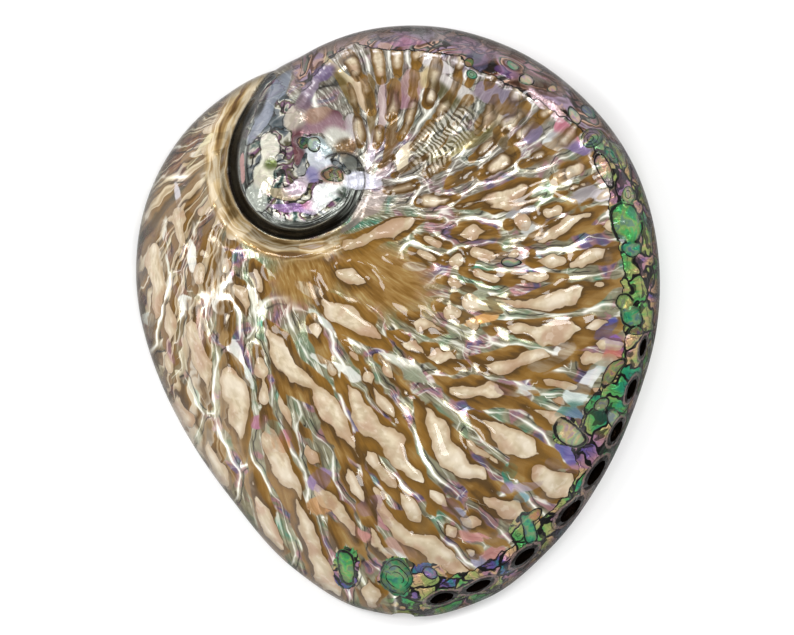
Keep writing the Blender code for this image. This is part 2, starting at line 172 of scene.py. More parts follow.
class Whorls:
    """Where places on the back lie among the whorls."""

    def __init__(self, x: np.ndarray, y: np.ndarray) -> None:
        """Find the whorl, the sutures and the edge next to each place.

        Args:
            x: places along X in mm.
            y: places along Y in mm.
        """
        self.radius, angle = SPIRAL.polar(x, y)
        self.edge = SPIRAL.edge_growth(angle)
        self.edge_radius = SPIRAL.radius(self.edge)
        first = np.mod(-angle - TIP_GROWTH, 360) + TIP_GROWTH
        second = first + 360
        here = second <= SUTURE_END
        self.sutures = ((first, np.ones_like(first)), (np.where(here, second, SUTURE_END), here * 1.0))
        inner, outer = SPIRAL.radius(first), SPIRAL.radius(second)
        last = np.where(here, outer, inner)
        past_first, past_last = self.radius >= inner, self.radius >= last
        self.growth = np.where(past_last, self.edge, np.where(past_first, second, first))
        self.from_suture = self.radius - last
        low = np.where(past_last, last, np.where(past_first, inner, 0.4 * inner))
        high = np.where(past_last, self.edge_radius, np.where(past_first, last, inner))
        share = np.log(np.maximum(self.radius, 0.3) / low) / np.log(high / low + 1e-6)
        self.across = np.clip(share, 0, 1)

    def over_sutures(self, relief: Callable[[np.ndarray, np.ndarray], np.ndarray]) -> np.ndarray:
        """Sum of a relief over the turns of the suture.

        Args:
            relief: function of growth angles and distances outside the suture.

        Returns:
            The summed relief.
        """
        return sum(here * relief(growth, self.radius - SPIRAL.radius(growth))
                   for growth, here in self.sutures)

    def streak(self) -> np.ndarray:
        """Growth angle at which the streak through each place reaches the edge."""
        return self.growth - streak_lag(self.growth) * (1 - self.across)


def streak_lag(growth: np.ndarray) -> np.ndarray:
    """How far, in degrees, a streak sweeps back on its way from the suture to the edge."""
    return 58 * ease((SPIRAL_END - growth) / 110 + 0.08)


def on_streak(streak: float, across: np.ndarray) -> tuple[np.ndarray, np.ndarray]:
    """Places in plan on a streak of the last whorl.

    Args:
        streak: growth angle at which the streak reaches the edge.
        across: shares of the way from the suture to the edge.

    Returns:
        The places in mm.
    """
    growth = streak + 40.0 * (1 - across)
    for _ in range(12):
        growth = 0.5 * growth + 0.5 * (streak + streak_lag(growth) * (1 - across))
    inside = SPIRAL.radius(growth - 360)
    outside = SPIRAL.radius(growth)
    return SPIRAL.place(growth, inside * (outside / inside) ** across)


@dataclass(frozen=True)
class Fold:
    """A pale crest along a line of points, with its half width."""

    half_width: float
    points: tuple[tuple[float, float], ...]


@dataclass
class Ridge:
    """A winding ridge with the half width of its pale crest, below zero where it stays brown."""

    x: np.ndarray
    y: np.ndarray
    crest: np.ndarray

    def stretches(self) -> np.ndarray:
        """Its straight stretches: start, end, and the crest's half width at both."""
        ends = (self.x[:-1], self.y[:-1], self.x[1:], self.y[1:])
        return np.column_stack((*ends, self.crest[:-1], self.crest[1:]))


def crest_gap(x: np.ndarray, y: np.ndarray, stretches: np.ndarray) -> np.ndarray:
    """Distance in plan from places to the side of the nearest crest, below zero inside it.

    Args:
        x: places along X in mm.
        y: places along Y in mm.
        stretches: stretches of ridges, one to a row.

    Returns:
        The distances in mm.
    """
    x0, y0, x1, y1, crest_0, crest_1 = stretches.T
    dx, dy = x1 - x0, y1 - y0
    x, y = x[:, None], y[:, None]
    along = np.clip(((x - x0) * dx + (y - y0) * dy) / (dx * dx + dy * dy), 0, 1)
    out = np.hypot(x - x0 - along * dx, y - y0 - along * dy)
    return (out - crest_0 - (crest_1 - crest_0) * along).min(axis=1)


@dataclass(frozen=True)
class Oval:
    """A soft oval place: middle, half sizes and the angle its long side is turned by."""

    x: float
    y: float
    long: float
    short: float
    turn: float = 0.0

    def away(self, x: np.ndarray, y: np.ndarray) -> np.ndarray:
        """Distance from its middle, 1 on its outline."""
        turn = math.radians(self.turn)
        along = (x - self.x) * math.cos(turn) + (y - self.y) * math.sin(turn)
        over = (y - self.y) * math.cos(turn) - (x - self.x) * math.sin(turn)
        return np.hypot(along / self.long, over / self.short)

    def cover(self, x: np.ndarray, y: np.ndarray) -> np.ndarray:
        """How strongly it covers places: 1 in its middle, 0 well outside."""
        return ease(1.6 - self.away(x, y))


@dataclass(frozen=True)
class Patch(Oval):
    """A soft oval of one colour."""

    tint: str = "FFFFFF"


@dataclass(frozen=True)
class Eye(Oval):
    """An outlined oval mark with rings inside its outline."""

    tint: str = "FFFFFF"
    rings: int = 1


def soft_noise(scale: float, *axes: np.ndarray) -> np.ndarray:
    """Smooth noise between about -0.7 and 0.7.

    Args:
        scale: bumps to a unit.
        axes: up to three coordinates.

    Returns:
        The noise at each place.
    """
    stacked = np.zeros((3, np.size(axes[0])))
    for row, axis in zip(stacked, axes):
        row[:] = np.ravel(axis) * scale
    values = [noise.noise(place) for place in stacked.T.tolist()]
    return np.array(values).reshape(np.shape(axes[0]))


class Folds:
    """Ridges of the back: the main ones listed, the small ones between them grown along the streaks."""

    BY_HAND = (
        Fold(1.5, ((-14, 21), (4, 27))),
        Fold(1.0, ((-26, 20), (-20, 20))),
        Fold(1.5, ((-15, 13), (-9, 11))),
        Fold(1.5, ((-20, 5), (-13, 1), (-5, -4))),
        Fold(1.5, ((4, 0), (10, 0))),
        Fold(1.5, ((2, -6), (7, -7))),
        Fold(1.5, ((9, -9), (15, -9))),
        Fold(2.0, ((16, -18), (22, -19), (30, -19))),
        Fold(2.2, ((-35, -4), (-30, -10), (-22, -19), (-17, -26), (-14, -31))),
        Fold(2.0, ((-12, -19), (-7, -28), (-3, -32), (1, -37), (5, -41), (8, -45), (12, -49))),
        Fold(2.0, ((9, -24), (12, -30), (13, -34), (16, -37), (20, -40), (23, -41), (27, -47))),
        Fold(2.5, ((27, -29), (30, -32), (35, -35), (39, -36))),
        Fold(2.0, ((25, -49), (33, -51))),
        Fold(1.7, ((-5, -48), (-2, -54), (2, -59), (9, -62), (15, -67), (20, -71))),
        Fold(1.5, ((-21, -47), (-17, -50), (-13, -55))),
        Fold(1.5, ((19, -55), (23, -55))),
        Fold(1.5, ((27, -69), (30, -70))),
        Fold(2.0, ((-7, -73), (-6, -79))),
        Fold(2.0, ((-26, -54), (-24, -59), (-22, -66), (-19, -73), (-17, -76))),
        Fold(1.6, ((-40, -47), (-38, -52), (-35, -58), (-32, -63))),
        Fold(1.0, ((-23, -36), (-21, -38))),
        Fold(2.0, ((32, -2), (37, -2), (43, -2), (50, -2), (57, 0))),
        Fold(1.5, ((26, -12), (33, -11), (40, -9))),
        Fold(2.5, ((40, -25), (44, -27), (47, -31))),
        Fold(2.5, ((39, -41), (43, -44), (48, -45))),
        Fold(1.6, ((20, 32), (25, 33), (30, 35), (34, 37))),
        Fold(1.0, ((27, 31), (33, 32))),
        Fold(1.5, ((16, 38), (19, 40))),
        Fold(1.5, ((40, 22), (44, 25), (48, 28), (51, 29))),
        Fold(1.5, ((40, 17), (46, 17))),
        Fold(1.5, ((48, 16), (52, 18), (57, 20))),
        Fold(1.7, ((31, 6), (34, 5), (39, 5), (45, 7), (50, 9), (56, 10))),
        Fold(1.0, ((18, 23), (22, 24))),
        Fold(2.0, ((25, 59), (24, 54))),
        Fold(2.0, ((-60, 30), (-59, 22))),
        Fold(1.6, ((-67, 22), (-67, 3))),
        Fold(1.0, ((-63, 5), (-62, -4))),
        Fold(1.5, ((-64, -9), (-63, -13))),
        Fold(1.5, ((-56, -2), (-54, -8), (-53, -16))),
        Fold(2.5, ((-46, -14), (-44, -20), (-43, -26), (-43, -30))),
        Fold(1.0, ((-44, 10), (-41, 5))),
        Fold(1.0, ((-32, -22), (-30, -27))),
        Fold(2.2, ((-36, -31), (-33, -38), (-30, -43), (-28, -45))),
        Fold(2.0, ((-61, -22), (-59, -29))),
        Fold(2.0, ((-53, -36), (-51, -41), (-48, -45))),
    )
    PLAIN_BROWN = (
        Oval(-5, 12, 15, 9, -20), Oval(-24, 12, 11, 7, 10), Oval(-56, 35, 9, 2.5, 85),
        Oval(-50, 16, 9, 2.5, 85), Oval(-66, 33, 8, 3, 75),
    )
    STREAK_STEP = 4.0
    SHARE_STEP = 0.018
    CLEARANCE = 3.0
    REACH = 11.0
    MEANDER = 1.5
    TAIL = 8.0
    TAIL_CREST = -1.0
    TAIL_ROOM = 1.8
    TAIL_ALWAYS = 2.5
    LEAST_LENGTH = 8.0
    FIRST_STREAK, LAST_STREAK = 266.0, 598.0

    def __init__(self, seed: int = 7) -> None:
        """Lengthen the main folds and grow the small ones between them.

        Args:
            seed: start of the random draws.
        """
        self.draw = random.Random(seed)
        crests = [self._smoothed(fold) for fold in self.BY_HAND]
        self.grown = [self._with_tails(crest, crests) for crest in crests]
        self.stretches = np.vstack([ridge.stretches() for ridge in self.grown])
        self._fill()
        self.ranks = [float(Whorls(ridge.x, ridge.y).streak().mean()) for ridge in self.grown]

    def _smoothed(self, fold: Fold) -> Ridge:
        """A fold as a winding line of close points.

        Args:
            fold: fold through a few points.

        Returns:
            Ridge through many, which bulges to either side as it goes.
        """
        points = np.array(fold.points, float)
        length = np.concatenate(([0], np.cumsum(np.hypot(*np.diff(points, axis=0).T))))
        along = np.linspace(0, length[-1], max(3, int(length[-1] / 1.6)))
        x, y = (Curve(*zip(length, points[:, axis]))(along) for axis in (0, 1))
        x, y = self._meandered(x, y)
        swell = 1.0 + 0.9 * soft_noise(0.12, x, y, 0 * x + 80)
        swell = swell * np.interp(along / length[-1], (0.0, 0.22, 0.75, 1.0), (0.45, 1.1, 1.1, 0.35))
        return Ridge(x, y, fold.half_width * swell)

    def _meandered(self, x: np.ndarray, y: np.ndarray) -> tuple[np.ndarray, np.ndarray]:
        """Shift places a little to and fro, neighbours alike."""
        return (x + self.MEANDER * soft_noise(0.13, x, y, 0 * x + 4),
                y + self.MEANDER * soft_noise(0.13, x, y, 0 * x + 40))

    def _with_tails(self, crest: Ridge, crests: list[Ridge]) -> Ridge:
        """A crest that goes on in brown beyond both its ends.

        Args:
            crest: the crest.
            crests: all of them, which the tails keep clear of.

        Returns:
            The whole ridge.
        """
        others = np.vstack([other.stretches() for other in crests if other is not crest])
        own = np.column_stack((crest.x, crest.y, crest.crest))
        rows = np.vstack((self._tail(own[::-1], others)[::-1], own, self._tail(own, others)))
        return Ridge(*rows.T)

    def _tail(self, own: np.ndarray, others: np.ndarray) -> np.ndarray:
        """Brown end of a ridge along its streak.

        Args:
            own: rows of x, y and crest, the last of which the tail follows.
            others: stretches of the other crests.

        Returns:
            Rows of x, y and crest.
        """
        x_end, y_end = own[-1, :2]
        whorl = Whorls(own[-1:, 0], own[-1:, 1])
        streak, across = float(whorl.streak()[0]), float(whorl.across[0])
        for way in (-1, 1):
            shares = across + way * np.linspace(0.02, 0.3, 15)
            x, y = on_streak(streak, shares[(shares > 0.1) & (shares < 0.98)])
            if len(x) < 2:
                continue
            onward = (x[1] - x_end) * (x_end - own[0, 0]) + (y[1] - y_end) * (y_end - own[0, 1])
            if onward < 0:
                continue
            length = np.hypot(x - x_end, y - y_end)
            clear = (crest_gap(x, y, others) > self.TAIL_ROOM) | (length < self.TAIL_ALWAYS)
            fits = (length < self.TAIL) & clear
            count = len(fits) if fits.all() else int(fits.argmin())
            crest = np.interp(length, (0.0, 1.5, self.TAIL), (0.3, -0.4, self.TAIL_CREST))
            return np.column_stack((x, y, crest))[:count]
        return np.zeros((0, 3))

    def _fill(self) -> None:
        """Grow small ridges along the streaks wherever there is room."""
        streak = self.FIRST_STREAK
        while streak < self.LAST_STREAK:
            across = self.draw.uniform(0.14, 0.3)
            while across < 0.92:
                across += self._grow(streak + self.draw.uniform(-1.0, 1.0), across)
            streak += self.STREAK_STEP * self.draw.uniform(0.6, 1.0)

    def _grow(self, streak: float, across: float) -> float:
        """Grow one small ridge as far as it keeps clear of the others.

        Args:
            streak: the streak it runs along.
            across: where it starts, as a share of the way to the edge.

        Returns:
            How far to move on before the next one.
        """
        shares = across + np.arange(0, self.draw.uniform(0.3, 0.8), self.SHARE_STEP)
        x, y = self._meandered(*on_streak(streak, shares[shares < 0.98]))
        whorl = Whorls(x, y)
        room = crest_gap(x, y, self.stretches)
        plain = np.max([oval.cover(x, y) for oval in self.PLAIN_BROWN], axis=0)
        free = (room > self.CLEARANCE) & (whorl.edge_radius - whorl.radius > 3.0) & (plain < 0.35)
        count = len(free) if free.all() else int(free.argmin())
        steps = np.hypot(np.diff(x[:count]), np.diff(y[:count]))
        length = np.concatenate(([0], np.cumsum(steps)))
        if length[-1] < self.LEAST_LENGTH:
            return self.SHARE_STEP
        crest = np.minimum(self._crests(length), room[:count] - self.CLEARANCE + 0.6)
        ridge = Ridge(x[:count], y[:count], crest)
        self.grown.append(ridge)
        self.stretches = np.vstack((self.stretches, ridge.stretches()))
        return count * self.SHARE_STEP + self.draw.uniform(0.02, 0.06)

    def _crests(self, length: np.ndarray) -> np.ndarray:
        """Pale crests of several sizes along a small ridge, with brown between them.

        Args:
            length: distances along the ridge in mm.

        Returns:
            Half widths.
        """
        widths = np.full(len(length), self.TAIL_CREST)
        start = self.draw.uniform(0.2, 2.0)
        while start < length[-1] - 2.0:
            end = start + self.draw.uniform(4.0, 12.0)
            half = self.draw.uniform(0.5, 1.7)
            ends = (self.TAIL_CREST, half, half, self.TAIL_CREST)
            shape = np.interp(length, (start, start + 1.3, end - 1.3, end), ends)
            widths = np.maximum(widths, shape)
            start = end + self.draw.uniform(1.0, 4.0)
        return widths

    def crest_distances(self, x: np.ndarray, y: np.ndarray) -> tuple[np.ndarray, np.ndarray, np.ndarray]:
        """Distance to the sides of the nearest and second nearest ridge's crest.

        Args:
            x: places along X in mm.
            y: places along Y in mm.

        Returns:
            The two distances in mm, below zero inside a crest, and 1 or -1 for the side of the
            valley between the two.
        """
        first, second = np.full(np.shape(x), self.REACH), np.full(np.shape(x), self.REACH)
        own, other = np.zeros(np.shape(x)), np.zeros(np.shape(x))
        for ridge, rank in zip(self.grown, self.ranks):
            near = ((x > ridge.x.min() - self.REACH) & (x < ridge.x.max() + self.REACH)
                    & (y > ridge.y.min() - self.REACH) & (y < ridge.y.max() + self.REACH))
            if near.any():
                away = crest_gap(x[near], y[near], ridge.stretches())
                nearest, next_nearest = away < first[near], away < second[near]
                other[near] = np.where(nearest, own[near], np.where(next_nearest, rank, other[near]))
                own[near] = np.where(nearest, rank, own[near])
                second[near] = np.minimum(second[near], np.maximum(first[near], away))
                first[near] = np.minimum(first[near], away)
        return first, second, np.where(own > other, 1.0, -1.0)


@dataclass(frozen=True)
class Breath:
    """An open breathing hole: where it is on the growth spiral and how big it is on the surface."""

    growth: float
    radius: float
    length: float
    width: float


@dataclass
class ShellForm:
    """Sizes and surfaces of the shell, in mm."""

    height: float = 50.0
    dome_centre: tuple[float, float] = (-3.0, 13.0)
    lip_wall: float = 3.2
    top_wall: float = 4.2
    lip_land: float = 2.0
    pillar_land: float = 4.5
    shelf_width: float = 11.0
    shelf_thickness: float = 3.0
    fold_height: float = 1.5
    crest_rounding: float = 1.4
    fold_reach: float = 4.5
    wrinkle_height: float = 0.45
    crumb_height: float = 0.8
    folds: Folds = field(default_factory=Folds)
    edge_height: Curve = Curve(
        (241, 8), (256, 9.5), (285, 12), (320, 15), (360, 17), (390, 16.5), (412, 12),
        (428, 6.5), (441, 5.2), (452, 2.2), (470, 1.6), (575, 1.6), (590, 4.5), (601, 8))
    rim_lift: Curve = Curve(
        (241, 4.5), (256, 1.2), (268, -0.4), (424, -0.4), (434, 1.2), (441, 3.2), (448, 1.0),
        (456, -0.4), (500, -0.4), (522, 0.25), (545, -0.4), (572, -0.4), (588, 1.4), (601, 4.5))
    wall_tuck: Curve = Curve(
        (241, 2.0), (262, 5.0), (310, 8.0), (385, 8.5), (415, 5.0), (432, 1.4), (446, 0.5),
        (585, 0.5), (601, 2.0))
    shelf_share: Curve = Curve(
        (241, 0.15), (266, 1.0), (400, 1.0), (426, 0.25), (441, 0.0), (580, 0.0), (601, 0.15))
    groove_depth: Curve = Curve(
        (-200, 0.0), (-120, 0.5), (20, 0.8), (80, 1.9), (120, 3.6), (215, 3.4), (241, 2.0))
    spire_step: Curve = Curve((-200, 0.0), (-140, 0.9), (20, 1.9), (110, 2.8), (170, 2.2), (241, 0.0))
    crest_height: Curve = Curve((50, 0.0), (110, 1.0), (215, 1.0), (241, 0.0))
    hole_row: Curve = Curve(
        (60, 7.0), (120, 9.5), (168, 12.5), (187, 16.0), (207, 18.9), (247, 22.6), (275, 33.2),
        (307, 45.2), (328, 56.0), (354, 74.9), (382, 92.2), (402, 105.6), (423, 118.4), (445, 121.8))
    seam: Curve = Curve(
        (246, 0.5), (262, 2.0), (275, 2.0), (288, -1.0), (300, -3.0), (312, -2.5), (328, -5.0),
        (345, -4.8), (351, -2.5), (358, -4.0), (370, -6.5), (385, -6.0), (392, -5.0), (398, -9.0),
        (403, -12.0), (408, -11.0), (411, -5.0), (418, -5.5), (430, -4.5), (441, -4.0))
    closed_holes: tuple[float, ...] = (168, 187, 207, 247, 275, 307, 328, 338, 354, 370, 381.5)
    breaths: tuple[Breath, ...] = (
        Breath(389.0, 97.6, 5.0, 3.2), Breath(395.6, 101.2, 6.0, 4.0), Breath(402.1, 105.4, 6.4, 4.4),
        Breath(408.5, 109.8, 8.2, 5.4), Breath(414.7, 113.8, 8.0, 5.6), Breath(423.4, 118.0, 7.0, 5.0),
        Breath(430.6, 120.6, 7.4, 4.8), Breath(435.7, 120.8, 6.8, 4.8),
    )
    notch: Breath = Breath(441.3, 125.0, 7.0, 5.0)

    def __post_init__(self) -> None:
        """Measure how far the outline and the inner outline reach round the dome's centre."""
        self.outer_reach = self._reach(0.0)
        self.inner_reach = self._reach(self.lip_wall)

    def _reach(self, inset: float) -> tuple[np.ndarray, np.ndarray]:
        """Turn and reach of the inset outline round the dome's centre."""
        growth = np.linspace(SUTURE_END, SPIRAL_END, 1441)
        x, y = SPIRAL.place(growth, SPIRAL.inset(growth, inset))
        turn = np.arctan2(y - self.dome_centre[1], x - self.dome_centre[0])
        order = np.argsort(turn)
        return turn[order], np.hypot(x - self.dome_centre[0], y - self.dome_centre[1])[order]

    def _dome(self, x: np.ndarray, y: np.ndarray, reach: tuple[np.ndarray, np.ndarray], top: float,
              edge: np.ndarray) -> np.ndarray:
        """Height of a dome over an outline.

        Args:
            x: places along X.
            y: places along Y.
            reach: turn and reach of the outline that it stands on.
            top: height of its crown.
            edge: height of its edge in each place's direction.

        Returns:
            Heights in mm.
        """
        dx, dy = x - self.dome_centre[0], y - self.dome_centre[1]
        turn = np.arctan2(dy, dx)
        out = np.clip(np.hypot(dx, dy) / np.interp(turn, *reach, period=2 * math.pi), 0, 1)
        power = 0.60 + 0.16 * (0.5 - 0.5 * np.sin(turn))
        return edge + (top - edge) * (1 - out ** 2.15) ** power

    def groove(self, growth: np.ndarray, outside: np.ndarray) -> np.ndarray:
        """Depth of the groove along the suture."""
        depth = self.groove_depth(growth)
        return depth * bump((outside - 0.6) / (1.0 + 0.3 * depth))

    def step_up(self, growth: np.ndarray, outside: np.ndarray) -> np.ndarray:
        """How far the whorl inside a suture stands above the whorl outside it."""
        return self.spire_step(growth) * ease(0.1 - outside / 5.0)

    def suture_relief(self, whorls: Whorls) -> np.ndarray:
        """Groove, step and smooth fold of every turn of the suture."""
        return whorls.over_sutures(
            lambda growth, outside: self.step_up(growth, outside) - self.groove(growth, outside)
            + self.crest_height(growth) * bump((outside - 6.5) / 2.4))

    def row_distance(self, whorls: Whorls) -> np.ndarray:
        """Distance outside the row of holes, in mm."""
        return whorls.radius - self.hole_row(whorls.growth)

    def hole_relief(self, whorls: Whorls) -> np.ndarray:
        """Spiral rib that carries the holes, with a knob and a pit at each closed one."""
        growth = whorls.growth
        on_back = ease((growth - 130) / 50) * ease((452 - growth) / 14)
        from_row = self.row_distance(whorls)
        relief = 1.1 * bump(from_row / 4.0)
        relief = relief - 0.7 * bump((from_row + 8.0) / 3.5) * ease((growth - 270) / 40)
        for hole in (*self.closed_holes, *(b.growth for b in self.breaths)):
            away = np.hypot(np.radians(growth - hole) * whorls.radius, from_row)
            relief = relief + 0.9 * bump((away - 2.6) / 1.8) - 0.4 * bump(away / 1.6)
        return on_back * relief

    def fold_relief(self, first: np.ndarray, second: np.ndarray) -> np.ndarray:
        """Height of the folds, from the distances to the two nearest crests."""
        half_gap = np.clip(0.5 * (first + second), 0.5, self.fold_reach)
        depth = self.fold_height * (half_gap / self.fold_reach) ** 0.5
        inner = self.crest_rounding
        down = np.clip((first + inner) / (half_gap + inner), 0, 1)
        return self.fold_height - depth * (0.5 - 0.5 * np.cos(math.pi * down))

    def wrinkles(self, whorls: Whorls) -> np.ndarray:
        """Low ripples along the streaks."""
        streak, across = whorls.streak(), whorls.across
        broad = soft_noise(1.0, streak * 0.14, across * 3.5)
        fine = soft_noise(1.0, streak * 0.35, across * 4.0, 0 * streak + 9)
        return self.wrinkle_height * (broad + 0.25 * fine)

    def crumbs(self, x: np.ndarray, y: np.ndarray, whorls: Whorls) -> np.ndarray:
        """Uneven crown of the spire."""
        bent = x + 1.5 * soft_noise(0.2, x, y, 0 * x + 3)
        height = soft_noise(0.22, bent, y) + 0.3 * soft_noise(0.45, bent, y, 0 * x + 5)
        return self.crumb_height * height * ease(-whorls.from_suture / 3.0)

    def back(self, x: np.ndarray, y: np.ndarray) -> np.ndarray:
        """Height of the back over places in plan."""
        whorls = Whorls(x, y)
        fade = ease((whorls.edge_radius - whorls.radius) / 7.0)
        relief = self.suture_relief(whorls) + self.hole_relief(whorls) + self.crumbs(x, y, whorls)
        folds = self.fold_relief(*self.folds.crest_distances(x, y)[:2]) + self.wrinkles(whorls)
        folds = folds * ease(whorls.from_suture / 6.0)
        dome = self._dome(x, y, self.outer_reach, self.height - 1.6, self.edge_height(whorls.edge))
        return dome + fade * (relief + folds)

    def inner_edge(self, growth: np.ndarray) -> np.ndarray:
        """Height at which the inside of the dome starts."""
        edge = self.edge_height(growth)
        return np.maximum(edge - 2.5, 0.5 * edge + 0.9)

    def inside(self, x: np.ndarray, y: np.ndarray) -> np.ndarray:
        """Height of the inside of the dome, with the fold that the suture leaves inside."""
        whorls = Whorls(x, y)
        fade = ease((whorls.edge_radius - whorls.radius - self.lip_wall) / 9.0)
        relief = whorls.over_sutures(
            lambda growth, outside: 0.8 * self.step_up(growth, outside + 2.0)
            - self.groove(growth, 0.7 * outside))
        top = self.height - 1.6 - self.top_wall
        return self._dome(x, y, self.inner_reach, top, self.inner_edge(whorls.edge)) + fade * relief

    def edge_profile(self, growth: np.ndarray, share: float) -> tuple[np.ndarray, np.ndarray]:
        """Inset and height round the edge, from the back (share 0) to the rim (share 1)."""
        top, lift, tuck = self.edge_height(growth), self.rim_lift(growth), self.wall_tuck(growth)
        turn = 0.5 * math.pi * share
        return tuck * (1 - math.cos(turn)), top - (top - lift) * math.sin(turn)

    def shelf_profile(self, growth: np.ndarray, share: float) -> tuple[np.ndarray, np.ndarray]:
        """Inset and height from the rim's inner edge over the shelf to the inside of the dome.

        Args:
            growth: growth angles on the outline.
            share: share of the way, 0 at the rim.

        Returns:
            Insets and heights in mm.
        """
        lift, shelf = self.rim_lift(growth), self.shelf_share(growth)
        start = self.wall_tuck(growth) + self.lip_land + (self.pillar_land - self.lip_land) * shelf
        end_height = self.inner_edge(growth)
        tip = start + self.shelf_width
        under = lift + 1.8
        over = under + self.shelf_thickness
        stations = (
            (0.0, start, lift), (0.2, start + 0.5 * self.shelf_width, lift + 1.2), (0.4, tip, under),
            (0.5, tip + 0.6, 0.5 * (under + over)), (0.62, tip - 1.0, over), (0.8, start + 1.5, over + 1.2),
            (0.9, 0.5 * (start + self.lip_wall) + 0.8, lift + 0.55 * (end_height - lift) + 2.0),
            (1.0, self.lip_wall, end_height),
        )
        k = max(i for i in range(len(stations) - 1) if stations[i][0] <= share)
        (low, inset_0, height_0), (high, inset_1, height_1) = stations[k], stations[k + 1]
        part = (share - low) / (high - low)
        plain_inset = start + (self.lip_wall - start) * share
        plain_height = lift + (end_height - lift) * share
        inset = inset_0 + (inset_1 - inset_0) * part
        height = height_0 + (height_1 - height_0) * part
        return plain_inset + (inset - plain_inset) * shelf, plain_height + (height - plain_height) * shelf


